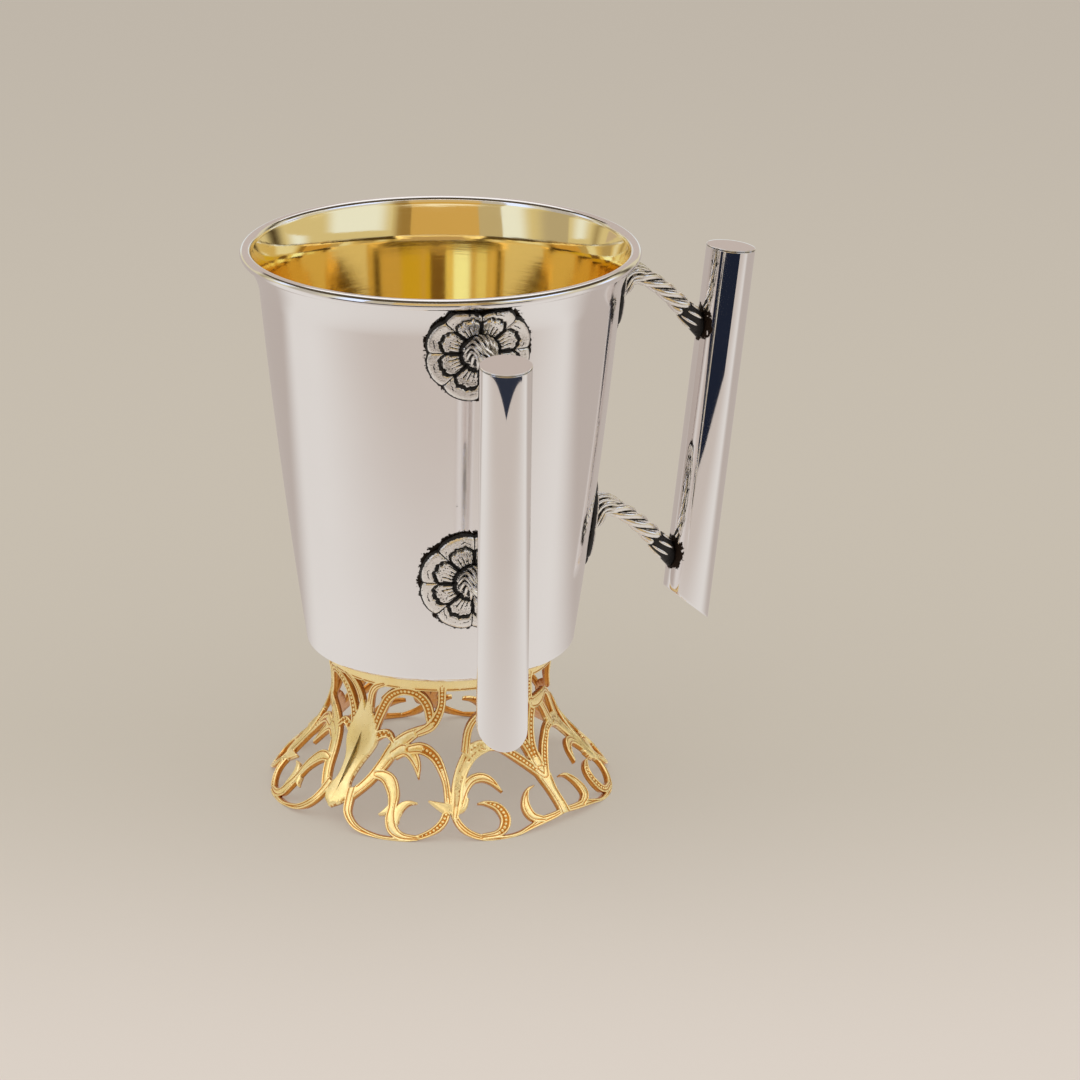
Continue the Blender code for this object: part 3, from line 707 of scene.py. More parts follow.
def relief(places):
    """Height of the outer face at each place, how hollow it is there and the uppermost stroke."""
    edge, top_edge, top_across, top_share = np.zeros((4, len(places)))
    top = np.full(len(places), -1)
    for index, path in enumerate(STROKES.values()):
        margin = (path[:, 2].max() / 2 + 0.5) / np.array((mm_per_deg(path[:, 1]).min(), 1))
        low, high = path[:, :2].min(0) - margin, path[:, :2].max(0) + margin
        near = np.nonzero(((places > low) & (places < high)).all(1))[0]
        if not len(near):
            continue
        across, half_width, share = across_stroke(places[near], path)
        inside = half_width - np.abs(across)
        on = inside > 0
        covered = near[on]
        edge[covered] = np.maximum(edge[covered], inside[on])
        top[covered], top_edge[covered], top_share[covered] = index, inside[on], share[on]
        top_across[covered] = (across / half_width)[on]
    rounding = -EDGE_DROP_MM * (1 - eased(edge, 0, EDGE_ROUND_MM))
    groove = hump(top_edge, GROOVE_IN_MM, GROOVE_HALF_MM)
    height = rounding - GROOVE_DEPTH_MM * groove - 0.1 * eased(top_edge, 0.5, 0.9)
    # hollow marks the grooves and scroll edges, and below, the bead troughs and flutes; on the gilt
    # it becomes orange-brown painted shade.
    hollow = 1.05 * groove * eased(edge, 0, 0.3) + 0.85 * eased(edge, 0.26, 0.04)
    names = list(STROKES)
    for name, (start, end, _) in BEADED.items():
        on = (top == names.index(name)) & (top_share > start) & (top_share < end)
        trough = eased(top_edge[on], 0.38, 0.6)
        height[on] -= TROUGH_DEPTH_MM * trough
        hollow[on] = np.maximum(hollow[on], trough)
    on = top == names.index(FLUTED)
    flute = hump(np.mod(top_across[on] * FLUTES / 2 + 0.5 * (FLUTES % 2 + 1), 1), 0.5, 0.3)
    flute *= eased(top_edge[on], 0.3, 0.6)
    height[on] -= FLUTE_DEPTH_MM * flute
    hollow[on] = np.maximum(hollow[on] * 0.4, flute)
    on = np.isin(top, [names.index(name) for name in SMOOTH])
    height[on] = rounding[on] + 0.12 * eased(top_edge[on], 0.2, 2.0)
    hollow[on] *= 0.25
    return height, np.clip(hollow, 0, 1), top


def flat_points(places):
    return places * (FLAT_MM_PER_DEG, 1)


def drawn_outline():
    """The flat mesh that all strokes together cover, cut to the quarter, in flat millimetres."""
    corners = []
    for path in STROKES.values():
        side = sideways(path) * path[:, 2:] / 2
        left, right = path[:, :2] + side, path[:, :2] - side
        quads = np.stack([left[1:], left[:-1], right[:-1], right[1:]], axis=1)
        corners += [Vector(corner) for corner in flat_points(quads.reshape(-1, 2))]
    faces = np.arange(len(corners)).reshape(-1, 4).tolist()
    points, _, triangles, _, _, sources = delaunay_2d_cdt(corners, [], faces, 1, 1e-4)
    bm = bmesh.new()
    verts = [bm.verts.new((x, y, 0)) for x, y in points]
    for triangle, source in zip(triangles, sources):
        if source:
            bm.faces.new([verts[i] for i in triangle])
    bmesh.ops.delete(bm, geom=[v for v in bm.verts if not v.link_faces], context="VERTS")
    for limit, axis in ((0, (-1, 0, 0)), (FLAT_WIDTH_MM, (1, 0, 0)), (0, (0, -1, 0)),
                        (RING_TOP_MM, (0, 1, 0))):
        bmesh.ops.bisect_plane(
            bm, geom=[*bm.verts, *bm.edges, *bm.faces], dist=1e-5, plane_co=Vector(axis) * limit,
            plane_no=axis, clear_outer=True,
        )
    bmesh.ops.remove_doubles(bm, verts=bm.verts, dist=0.03)
    return bm


def clean_outline(bm):
    """The rim of the flat mesh as points and edges that never cross."""
    for edge in [e for e in bm.edges if len(e.link_faces) == 1]:
        pieces = math.ceil(edge.calc_length() / STROKE_STEP_MM)
        if pieces > 1:
            bmesh.ops.subdivide_edges(bm, edges=[edge], cuts=pieces - 1)
    rim = [e for e in bm.edges if len(e.link_faces) == 1]
    verts = sorted({v for e in rim for v in e.verts}, key=lambda v: (v.co.x, v.co.y))
    index = {v: i for i, v in enumerate(verts)}
    edges = [(index[e.verts[0]], index[e.verts[1]]) for e in rim]
    points, lines, _, _, sources, _ = delaunay_2d_cdt([v.co.xy for v in verts], edges, [], 0, 1e-5)
    return [tuple(p) for p in points], [line for line, source in zip(lines, sources) if source]


def spread(points, taken, apart):
    """The points that keep at least this far from each other and from those already taken."""
    cells = {}

    def is_near(p):
        column, row = int(p[0] // apart), int(p[1] // apart)
        around = [(column + i, row + j) for i in (-1, 0, 1) for j in (-1, 0, 1)]
        for q in (q for cell in around for q in cells.get(cell, ())):
            if (p[0] - q[0]) ** 2 + (p[1] - q[1]) ** 2 < apart * apart:
                return True
        cells.setdefault((column, row), []).append(p)
        return False

    for p in taken:
        is_near(p)
    return [p for p in points if not is_near(p)]


def rows_along():
    """Points in rows beside every stroke's edges, where that stroke is the uppermost."""
    rows, owner = [], []
    for index, path in enumerate(STROKES.values()):
        middle, side, half = path[:, :2], sideways(path), path[:, 2] / 2
        lines = [
            (middle + sign * side * (half - offset)[:, None])[half > offset]
            for offset in EDGE_OFFSETS_MM for sign in (1, -1)
        ]
        rows += [*lines, middle]
        owner += [index] * (sum(map(len, lines)) + len(middle))
    places = np.vstack(rows)
    return places[relief(places)[2] == np.array(owner)]


def field_points(covered, spacing):
    """Evenly staggered points over everything that is covered, in flat millimetres."""
    points = [
        ((i + 0.5 * (j % 2)) * spacing, (j + 0.5) * spacing * ROW_SHARE)
        for j in range(int(RING_TOP_MM / (spacing * ROW_SHARE)) + 1)
        for i in range(int(FLAT_WIDTH_MM / spacing) + 1)
    ]
    return [p for p in points if covered(p)]


def regions_between(walls, triangles):
    """Groups of triangles that touch across a side that isn't a wall."""
    beside = {}
    for i, (a, b, c) in enumerate(triangles):
        for side in (frozenset((a, b)), frozenset((b, c)), frozenset((c, a))):
            if side not in walls:
                beside.setdefault(side, []).append(i)
    neighbours = [[] for _ in triangles]
    for pair in beside.values():
        if len(pair) == 2:
            neighbours[pair[0]].append(pair[1])
            neighbours[pair[1]].append(pair[0])
    regions, seen = [], set()
    for first in range(len(triangles)):
        region, waiting = [], [first] * (first not in seen)
        seen.add(first)
        while waiting:
            region.append(waiting.pop())
            fresh = [i for i in neighbours[region[-1]] if i not in seen]
            seen.update(fresh)
            waiting.extend(fresh)
        regions.append(region)
    return regions


def triangulated(outline, edges, inside, covered):
    """Triangles through the outline's points, which keep their numbers, and those inside it."""
    places = [tuple(p) for p in [*outline, *inside]]
    made = delaunay_2d_cdt([Vector(p) for p in places], edges, [], 0, 1e-6)
    points, lines, triangles, origins, sources, _ = made
    walls = {frozenset(line) for line, source in zip(lines, sources) if source}
    number = []
    for point, origin in zip(points, origins):
        number.append(min(origin) if origin else len(places))
        if not origin:
            places.append(tuple(point))
    kept = []
    for region in regions_between(walls, triangles):
        middles = (sum((points[v] for v in triangles[i]), Vector((0, 0))) / 3 for i in region)
        if 2 * sum(map(covered, middles)) > len(region):
            kept += [[number[v] for v in triangles[i]] for i in region]
    return np.array(places), kept


def quarter_sheet():
    """How many points the quarter's outline has, and its outer and inner faces' triangles."""
    bm = drawn_outline()
    tree = BVHTree.FromBMesh(bm)

    def covered(p):
        return tree.find_nearest((p[0], p[1], 0), 1e-3)[0] is not None

    def off_seams(points):
        low = SEAM_CLEARANCE_MM
        wide, tall = FLAT_WIDTH_MM - low, RING_TOP_MM - low
        return [p for p in points if low < p[0] < wide and low < p[1] < tall]

    outline, edges = clean_outline(bm)
    rim = np.array([(outline[a], outline[b]) for a, b in edges])
    rim = [tuple(p) for t in np.arange(0, 1, 0.15) for p in rim[:, 0] + t * (rim[:, 1] - rim[:, 0])]
    rows = off_seams(tuple(p) for p in flat_points(rows_along()))
    rows = spread([p for p in rows if covered(p)], rim, SAME_POINT_MM)
    field = spread(field_points(covered, FIELD_SPACING_MM), [*rim, *rows], FIELD_SPACING_MM * 0.7)
    outer = triangulated(outline, edges, [*rows, *off_seams(field)], covered)
    sparse = spread(field_points(covered, INNER_SPACING_MM), rim, INNER_SPACING_MM / 4)
    inner = triangulated(outline, edges, off_seams(sparse), covered)
    bm.free()
    return len(outline), outer, inner


def on_foot(deg, rise, depth):
    """Points of the foot's sheet in metres, at these depths in millimetres behind its face."""
    rise = np.clip(rise, 0, RING_TOP_MM)
    spot, above, below = (along(FOOT_CURVE, FOOT_RISE, rise + step) for step in (0, 1, -1))
    slope = (above - below) / np.linalg.norm(above - below, axis=1)[:, None]
    from_edge = np.minimum(spot[:, 1], FOOT_CURVE[-1, 1] - spot[:, 1]) / LEVEL_ZONE_MM
    level = 1 - np.clip(from_edge, 0, 1)
    inward = np.stack([-slope[:, 1], slope[:, 0] * (1 - level)], axis=1)
    inward /= np.linalg.norm(inward, axis=1)[:, None]
    out, up = (spot + np.asarray(depth)[..., None] * inward).T
    angle = np.radians(FOOT_TURN_DEG + deg)
    return np.stack([out * np.sin(angle), -out * np.cos(angle), up], axis=1) * MM


def all_round(places, triangles):
    """A quarter's places and triangles repeated round the foot, with the seams closed."""
    index, faces, found = {}, [], []
    for turn, mirror in QUARTERS:
        shared = []
        for i, (x, y) in enumerate(places):
            deg = turn + mirror * x / FLAT_MM_PER_DEG
            seam = min(x, FLAT_WIDTH_MM - x) < 1e-4
            key = (round(deg) % 360 if seam else (turn, mirror), i)
            if key not in index:
                index[key] = len(index)
                found.append((i, deg, y))
            shared.append(index[key])
        faces += [[shared[i] for i in triangle[::mirror]] for triangle in triangles]
    return index, faces, np.array(found).T


def build_foot_sheet(material):
    outline_count, outer, inner = quarter_sheet()
    height, hollow, _ = relief(outer[0] / (FLAT_MM_PER_DEG, 1))
    front, faces, (source, *front_spots) = all_round(*outer)
    back, back_faces, (_, *back_spots) = all_round(*inner)
    source = source.astype(int)
    points = np.vstack([
        on_foot(*front_spots, -height[source]), on_foot(*back_spots, FOOT_SHEET_MM)
    ])
    behind = {front[key]: len(front) + back[key] for key in front if key[1] < outline_count}
    sides = {(a, b) for t in faces for a, b in zip(t, [*t[1:], t[0]])}
    faces += [[len(front) + i for i in triangle[::-1]] for triangle in back_faces]
    faces += [[b, a, behind[a], behind[b]] for a, b in sides if (b, a) not in sides]
    # The outer face's hollows, and the whole inner face, which stands in shadow, get painted shade.
    recess = np.concatenate([hollow[source], np.full(len(back), BACK_PAINTED_SHADE)])
    return make_mesh("openwork", points, faces, material, recess=recess)


def bead_rows():
    """Middle lines of the rows of beads: places in degrees and rise, and the bead's width."""
    lines = []
    for name, (start, end, rows) in BEADED.items():
        share = np.linspace(0, 1, len(STROKES[name]))
        kept = STROKES[name][(share >= start) & (share <= end)]
        size = np.clip(kept[:, 2] - 1.1 if rows == 1 else 0 * kept[:, 2] + 0.75, 0.35, BEAD_MM)
        for row in range(rows):
            shift = (row - (rows - 1) / 2) * BEAD_ROWS_APART_MM
            lines.append(np.column_stack([kept[:, :2] + sideways(kept) * shift, size]))
    return lines


def bead_tree():
    """Sets a bead at every step along the lines, flat side down on the face."""
    tree, given = new_group(
        "bead_rows", "GeometryNode", ["Beads"], Lines="Geometry", Spacing=BEAD_SPACING_MM * MM,
        Height_Share=0.55, Segments=8, Rings=5, Unevenness=0.12, Seed=7, Metal="Material",
    )
    lines = tree.add("MeshToCurve", given["Lines"])
    stepped = tree.add("ResampleCurve", lines, Length=given["Spacing"], mode="LENGTH")
    bead = tree.add("MeshUVSphere", given["Segments"], given["Rings"], 0.5)
    outward = tree.add("InputNamedAttribute", "outward", data_type="FLOAT_VECTOR")
    aimed = tree.add(
        "FunctionNodeAxesToRotation", Primary_Axis=outward, Secondary_Axis=tree.add("InputTangent"),
        primary_axis="Z", secondary_axis="X",
    )
    chance = tree.node("FunctionNodeRandomValue", Seed=given["Seed"], data_type="FLOAT")
    tree.feed(chance, {2: tree.maths("SUBTRACT", 1.0, given["Unevenness"]), 3: 1.0})
    size = tree.maths("MULTIPLY", tree.add("InputNamedAttribute", "width"), chance.outputs[1])
    depth = tree.maths("MULTIPLY", size, given["Height Share"])
    scale = tree.add("ShaderNodeCombineXYZ", size, size, depth)
    beads = tree.add("InstanceOnPoints", stepped, Instance=bead, Rotation=aimed, Scale=scale)
    smooth = tree.add("SetShadeSmooth", tree.add("RealizeInstances", beads))
    return tree.give(Beads=tree.add("SetMaterial", smooth, Material=given["Metal"]))


def build_beading(material):
    points, edges, width, outward = [], [], [], []
    for line in bead_rows():
        for turn, mirror in QUARTERS:
            deg = turn + mirror * line[:, 0]
            depths = (BEAD_SUNK_MM, BEAD_SUNK_MM - 1)
            spot, above = (on_foot(deg, line[:, 1], depth) for depth in depths)
            edges += line_edges(len(line), len(points))
            points.extend(spot)
            width.extend(line[:, 2] * MM)
            outward.extend((above - spot) / MM)
    lines = make_mesh("bead_lines", points, edges=edges, width=width, outward=outward)
    return grown("beading", lines, bead_tree(), {"Metal": material})


def build_foot(material):
    finish_piece(build_foot_sheet(material), "foot_openwork", "gilt", "openwork_foot")
    finish_piece(build_beading(material), "foot_beading", "gilt", "openwork_foot")


# Handles. Each is built beside the cup at +X, then turned about the cup's axis.

OUTER_WALL = wall_curve(0, arc(ROLL_CENTRE, ROLL_RADIUS, ROLL_START_DEG, 0, 1)[0])
OUTER_SLOPES = np.arctan(np.gradient(OUTER_WALL[:, 0], OUTER_WALL[:, 1]))  # from upright


def on_wall(across, up, height, rise):
    """Points near the bowl's outer wall: across and up the wall from a height, rise above it."""
    shapes = (OUTER_WALL[:, 0], OUTER_SLOPES)
    radius, slope = (np.interp(height + up, OUTER_WALL[:, 1], shape) for shape in shapes)
    angle = across / radius
    out = radius + rise * np.cos(slope)
    level = height + up - rise * np.sin(slope)
    return np.stack([out * np.cos(angle), out * np.sin(angle), level], axis=-1)


def petal_across(angle):
    """0 along the middle of a petal and 1 where two petals meet."""
    return np.abs(2 * np.mod(PETALS * angle / (2 * pi), 1) - 1)


def petal_reach(angle, height):
    """The rosette's edge: scalloped, and kept below the rim's roll."""
    room = OUTER_WALL[-1, 1] - 0.5 * MM - height
    upward = np.maximum(np.sin(angle), 1e-3)
    scallop = 1 - PETAL_SCALLOP * petal_across(angle)**3
    return np.minimum(ROSETTE_RADIUS, room / upward) * scallop


def rosette_relief(angle, share):
    """Height above the wall in millimetres, and how hollow it is, over the whole rosette."""
    across = petal_across(angle)
    waver = 0.012 * np.sin(29 * angle) + 0.008 * np.sin(53 * angle + 1)
    petal_edge = 0.735 - 0.10 * across**4 + waver
    on_petal = 1 - eased(share, petal_edge, petal_edge + 0.05)
    parting = hump(across, 1.0, 0.075)
    band = 1.5 - 1.3 * ((share - 0.88) / 0.15) ** 2 * eased(share, 0.8, 1.0) - 0.5 * parting
    fold = eased(across, 1.0, 0.84)
    petal = 0.95 + 0.85 * fold * eased(share, petal_edge, petal_edge - 0.07)
    petal -= 0.25 * hump(share, 0.58, 0.2) * fold
    vein_run = 0.46 + 0.12 * np.cos(angle * 37) ** 2
    veins = hump(np.mod(across * 2.6 + 0.5, 1), 0.5, 0.27) * eased(share, vein_run + 0.04, vein_run)
    petal -= 0.22 * veins * fold
    outline = hump(share, petal_edge + 0.012, 0.052)
    second_line = hump(share, petal_edge + 0.12, 0.025) * eased(np.sin(11 * angle + 1), 0.1, 0.5)
    height = np.where(share > petal_edge, band, petal) - 0.35 * outline
    hub_share = BOSS_RADIUS_MM * MM / ROSETTE_RADIUS
    moat = hump(share, hub_share + 0.055, 0.07)
    height = np.where(share < hub_share + 0.05, BOSS_TOP_MM, height) - 0.6 * moat
    hollow = np.maximum.reduce([
        1.2 * outline, 1.25 * moat, parting * (1 - on_petal), 0.75 * second_line,
        1.15 * eased(across, 0.80, 0.88) * on_petal, 1.1 * veins * on_petal,
        1.05 * eased(share, 0.945, 0.985), 0.28 * on_petal,
    ])
    return height, np.where(share < hub_share, 0.45, hollow)


def build_rosette(height, material):
    """Petals round a boss, on a back that follows the wall."""
    spokes = ROSETTE_SPOKES
    angles = np.linspace(0, 2 * pi, spokes, endpoint=False)
    shares = np.linspace(1, 0, ROSETTE_RINGS, endpoint=False)
    share, angle = np.meshgrid(shares, angles, indexing="ij")
    reach = petal_reach(angle, height) * share
    rise, hollow = rosette_relief(angle, reach / petal_reach(angle, 0.0))
    front = on_wall(reach * np.cos(angle), reach * np.sin(angle), height, GAP + rise * MM)
    edge = petal_reach(angles, height)
    back = on_wall(edge * np.cos(angles), edge * np.sin(angles), height, GAP)
    middles = [on_wall(0.0, 0.0, height, GAP + up * MM) for up in (BOSS_TOP_MM, 0)]
    points = [*back, *front.reshape(-1, 3), *middles]
    faces = ring_faces(ROSETTE_RINGS + 1, spokes, capped=False)
    last = ROSETTE_RINGS * spokes
    for i in range(spokes):
        j = (i + 1) % spokes
        faces += [(last + i, last + j, len(points) - 2), (j, i, len(points) - 1)]
    values = [*np.ones(spokes), *hollow.ravel(), 0.45, 1.0]
    return make_mesh("rosette", points, faces, material, recess=values)


GRIP_ENDS = [Vector((out, 0, height)) for out, height in (GRIP_BOTTOM, GRIP_TOP)]


def grip_rows(length):
    """Rows of the grip from its oblique lower end up: radius, place along it, slope and dirt."""
    edge, full = 0.3 * MM, GRIP_RADIUS
    low = [
        (0.25 * full, 0), (0.6 * full, 0), (full - 1.2 * edge, 0),
        (full - 0.45 * edge, 0.1 * edge), (full - 0.08 * edge, 0.5 * edge), (full, edge),
        (full, 3 * edge),
    ]
    rows = [(radius, at, GRIP_CUT, 0.0) for radius, at in low]
    for share in np.linspace(0.12, 0.97, 22):
        rows.append((full, share * length, GRIP_CUT * max(0, 1 - share / 0.5), 0.0))
    seam = (  # radius lost and depth below the top in millimetres, and dirt
        (0, 0.62, 0), (0, 0.46, 0.3), (0.14, 0.40, 1), (0.14, 0.30, 1), (0, 0.24, 0.3),
        (0, 0.15, 0), (0.05, 0.04, 0), (0.2, 0, 0), (0.8, 0, 0),
    )
    rows += [(full - lost * MM, length - down * MM, 0.0, darkening) for lost, down, darkening in seam]
    return rows + [(0.6 * full, length, 0.0, 0), (0.25 * full, length, 0.0, 0)]


def grip_place(lean_deg):
    """Turns a grip built along +Z from its lower end into its place beside the cup."""
    bottom, top = GRIP_ENDS
    middle = (bottom + top) / 2
    lean = Matrix.Rotation(radians(lean_deg), 4, "X")
    upright = (top - bottom).to_track_quat("Z", "Y").to_matrix().to_4x4()
    return Matrix.Translation(middle) @ lean @ Matrix.Translation(bottom - middle) @ upright


def build_grip(lean_deg, material):
    rows = grip_rows((GRIP_ENDS[1] - GRIP_ENDS[0]).length)
    angles = np.linspace(0, 2 * pi, GRIP_SIDES, endpoint=False)
    points, darkening = [], []
    for radius, at, slope, soiled in rows:
        inward = radius * np.sin(angles)
        points.extend(np.stack([radius * np.cos(angles), inward, at + slope * inward], axis=1))
        darkening += [soiled] * GRIP_SIDES
    mesh = make_mesh("grip", points, ring_faces(len(rows), GRIP_SIDES), material, recess=darkening)
    mesh.transform(grip_place(lean_deg))
    return mesh


def to_grip(point, direction):
    """Where a line from the point meets the grip's surface, less the gap."""
    bottom, top = GRIP_ENDS
    axis = (top - bottom).normalized()
    offset, heading = (v - axis * v.dot(axis) for v in (point - bottom, direction))
    a, b = heading.length_squared, 2 * offset.dot(heading)
    c = offset.length_squared - (GRIP_RADIUS + GAP) ** 2
    return (-b - math.sqrt(max(b * b - 4 * a * c, 0))) / (2 * a)


def arm_path(height):
    """An arm's middle line from its boss up to the grip at even steps, with its radius."""
    start = on_wall(0.0, 0.0, height, 2 * GAP + BOSS_HEIGHT_MM * MM)
    route = spline([(start[0] + x * MM, start[2] + z * MM, r * MM) for x, z, r in ARM_ROUTE_MM])
    lengths = running_length(route[:, :2])
    (x, z, _), (from_x, from_z, _) = route[-1], route[-2]
    last = Vector((x - from_x, 0, z - from_z)).normalized()
    touch = lengths[-1] + to_grip(Vector((x, 0, z)), last)
    return along(route, lengths, np.linspace(0, touch, 60))


def grip_joint(height):
    """Where the arm at this height meets its grip."""
    x, z, _ = arm_path(height)[-1]
    return x, 0, z


def build_arm_core(height, material):
    """The dark core between the strands, which swells into a coped foot on the grip."""
    path = arm_path(height)
    share = np.linspace(0, 1, len(path))
    swell = 0.60 + 0.32 * eased(share, 0.72, 0.86) + 0.4 * eased(share, 0.2, 0.0)
    tangents = np.gradient(path[:, :2], axis=0)
    angles = np.linspace(0, 2 * pi, ARM_SIDES, endpoint=False)
    points = []
    keep = np.nonzero(share < 0.93)[0]
    for (x, z, radius), tangent, wide in zip(path[keep], tangents[keep], swell[keep]):
        ahead = Vector((tangent[0], 0, tangent[1])).normalized()
        upward = ahead.cross(Vector((0, 1, 0)))
        spokes = [Vector((0, cos(angle), 0)) + upward * sin(angle) for angle in angles]
        points += [Vector((x, 0, z)) + spoke * float(radius * wide) for spoke in spokes]
    points += [point + ahead * to_grip(point, ahead) for point in points[-ARM_SIDES:]]
    faces = ring_faces(len(keep) + 1, ARM_SIDES)
    return make_mesh("arm_core", points, faces, material, recess=[1.0] * len(points))


def strand_tree():
    """Strands laid round a route like a rope's, each rounded off at its ends."""
    tree, given = new_group(
        "laid_strands", "GeometryNode", ["Strands"], Route="Geometry", Start=0.0, End=1.0,
        Strands=5, Turns=-1.3, Ride=0.62, Thickness=0.37, Rounded_Share=0.1, Flare=0.0, Steps=64,
        Sides=12, Hollow_From=0.95, Hollow_To=0.6, Metal="Material",
    )
    route = tree.add("MeshToCurve", given["Route"])
    cut = tree.add("TrimCurve", route, Start=given["Start"], End=given["End"], mode="FACTOR")
    stepped = tree.add("ResampleCurve", cut, Count=given["Steps"])
    held = tree.node("CaptureAttribute")
    for kind, label in (("VECTOR", "Middle"), ("FLOAT", "Along"), ("FLOAT", "Reach")):
        held.capture_items.new(kind, label)
    tree.feed(held, {
        0: tree.add("SetCurveNormal", stepped, mode="Z_UP"), "Middle": tree.add("InputPosition"),
        "Along": tree.add("SplineParameter"), "Reach": tree.add("InputNamedAttribute", "reach"),
    })
    middle, share, reach = (held.outputs[label] for label in ("Middle", "Along", "Reach"))
    copies = tree.node(
        "DuplicateElements", held.outputs[0], Amount=given["Strands"], domain="SPLINE"
    ).outputs
    lap = tree.maths("DIVIDE", copies["Duplicate Index"], given["Strands"])
    turn = tree.maths("MULTIPLY_ADD", share, given["Turns"], lap)
    angle = tree.maths("MULTIPLY", turn, 2 * pi)
    normal = tree.add("InputNormal", output="Normal")
    crosswise = tree.vector("CROSS_PRODUCT", tree.add("InputTangent"), normal)
    spoke = tree.vector("ADD", *(
        tree.vector("SCALE", way, Scale=tree.maths(wave, angle))
        for way, wave in ((normal, "COSINE"), (crosswise, "SINE"))
    ))
    rest = tree.maths("SUBTRACT", 1.0, share)
    flare = tree.maths("MULTIPLY_ADD", rest, given["Flare"], given["Ride"])
    offset = tree.vector("SCALE", spoke, Scale=tree.maths("MULTIPLY", reach, flare))
    laid = tree.add("SetPosition", copies[0], Offset=offset)
    from_end = tree.maths("MINIMUM", share, rest)
    left = tree.maths("DIVIDE", from_end, given["Rounded Share"])
    left = tree.maths("MAXIMUM", tree.maths("SUBTRACT", 1.0, left), 0.0)
    rounding = tree.maths("SUBTRACT", 1.002, tree.maths("MULTIPLY", left, left))
    rounding = tree.maths("MINIMUM", tree.maths("SQRT", rounding), 1.0)
    full = tree.maths("MULTIPLY", reach, given["Thickness"])
    ring = tree.add("CurvePrimitiveCircle", Resolution=given["Sides"], Radius=1.0)
    thickness = tree.maths("MULTIPLY", full, rounding)
    swept = tree.add("CurveToMesh", laid, ring, Scale=thickness, Fill_Caps=True)
    away = tree.vector("DISTANCE", tree.add("InputPosition"), middle, output="Value")
    depth = tree.maths("DIVIDE", away, reach)
    hollow = tree.fade(depth, given["Hollow From"], given["Hollow To"])
    marked = tree.add("StoreNamedAttribute", swept, Name="recess", Value=hollow)
    real = tree.add("RealizeInstances", tree.add("SetShadeSmooth", marked))
    return tree.give(Strands=tree.add("SetMaterial", real, Material=given["Metal"]))


STRANDS = {
    "rope": {
        "Start": 0.13, "End": 0.80, "Strands": 4, "Turns": -1.15, "Ride": 0.58, "Thickness": 0.42,
        "Rounded Share": 0.06,
    },
    "calyx": {
        "Start": 0.0, "End": 0.3, "Strands": 15, "Turns": -0.08, "Ride": 0.90, "Thickness": 0.15,
        "Rounded Share": 0.5, "Flare": 0.35, "Steps": 20, "Sides": 6, "Hollow From": 0.95,
        "Hollow To": 0.75,
    },
    "fingers": {
        "Start": 0.80, "End": 0.965, "Strands": 7, "Turns": -0.10, "Ride": 0.92,
        "Thickness": 0.16, "Rounded Share": 0.5, "Steps": 16, "Sides": 8, "Hollow From": 0.98,
        "Hollow To": 0.8,
    },
}


def build_arm_strands(height, tree, material):
    x, z, reach = arm_path(height).T
    points = np.stack([x, 0 * x, z], axis=1)
    route = make_mesh("arm_route", points, edges=line_edges(len(x)), reach=reach)
    return joined("arm_strands", [
        grown(name, route.copy(), tree, {**values, "Metal": material})
        for name, values in STRANDS.items()
    ])


def build_handles(grip_metal, rosette_metal, arm_metal):
    tree = strand_tree()
    for side, (direction, lean_deg) in HANDLES.items():
        pieces = [("grip", build_grip(lean_deg, grip_metal), "polished_silver", "grip")]
        for level, height in ARM_HEIGHTS.items():
            for label, mesh, node in (
                ("petals", build_rosette(height, rosette_metal), "rosette"),
                ("core", build_arm_core(height, arm_metal), "arm"),
                ("strands", build_arm_strands(height, tree, arm_metal), "arm"),
            ):
                pieces.append((f"{level}_{label}", mesh, "oxidised_silver", f"{level}_{node}"))
        for label, mesh, slot, node in pieces:
            mesh.transform(handle_turn(direction))
            finish_piece(mesh, f"{side}_{label}", slot, f"{side}_handle_{node}")


# Studio

CAMERA_TURN_DEG = 28.8  # round the cup, from -Y towards +X
CAMERA_AWAY = 1153 * MM
CAMERA_HEIGHT = 459.8 * MM
LENS_MM = 160.14
AIM_HEIGHT = 75 * MM
SHIFT_RIGHT = 0.0921
SHIFT_UP = -0.0361
FRONT_GRIP_TURN_DEG = 90 - HANDLE_SPREAD_DEG / 2 - CAMERA_TURN_DEG
DARK_GAP = (0.08, 0.06, 0.035)
SIDE_WALL = (0.68, 0.62, 0.43)
WARM_WALL = (0.63, 0.43, 0.16)
WINDOW = (0.86, 0.98, 1.25)
BRIGHT_DEEP = (1.15, 1.75, 3.4)
BACK_DEEP = (0.83, 0.98, 1.5)
DEEP_GOLD = (0.70, 0.65, 0.14)
SOFT_END_DEG = 12
CRESCENT_SPREAD_DEG = 78
CRESCENT_SEEN_WITHIN = 112 * MM
# Painted light: the floor glows by this share of its brightness, so that shadows on it stay faint.
FLOOR_GLOW = 0.5  # how much of the floor's brightness no shadow takes


def toward_camera(distance, turn_deg=0.0, height=0.0, centre=CUP_AXIS):
    """A point this far from the cup's axis, turned from the camera's side."""
    angle = radians(CAMERA_TURN_DEG + turn_deg)
    return centre + Vector((sin(angle) * distance, -cos(angle) * distance, height))


def add_camera():
    camera = put_in_scene("camera", bpy.data.cameras.new("camera"))
    camera.location = toward_camera(CAMERA_AWAY, height=CAMERA_HEIGHT)
    ahead = CUP_AXIS + Vector((0, 0, AIM_HEIGHT)) - camera.location
    camera.rotation_euler = ahead.to_track_quat("-Z", "Y").to_euler()
    camera.data.lens = LENS_MM
    camera.data.shift_x, camera.data.shift_y = SHIFT_RIGHT, SHIFT_UP
    bpy.context.scene.camera = camera


def stage_mesh(name, points, faces, material, **values):
    obj = put_in_scene(name, make_mesh(name, points, faces, material, smooth=False, **values))
    return obj


def square(size, height):
    return [(size * x, size * y, height) for x, y in ((-1, -1), (1, -1), (1, 1), (-1, 1))]


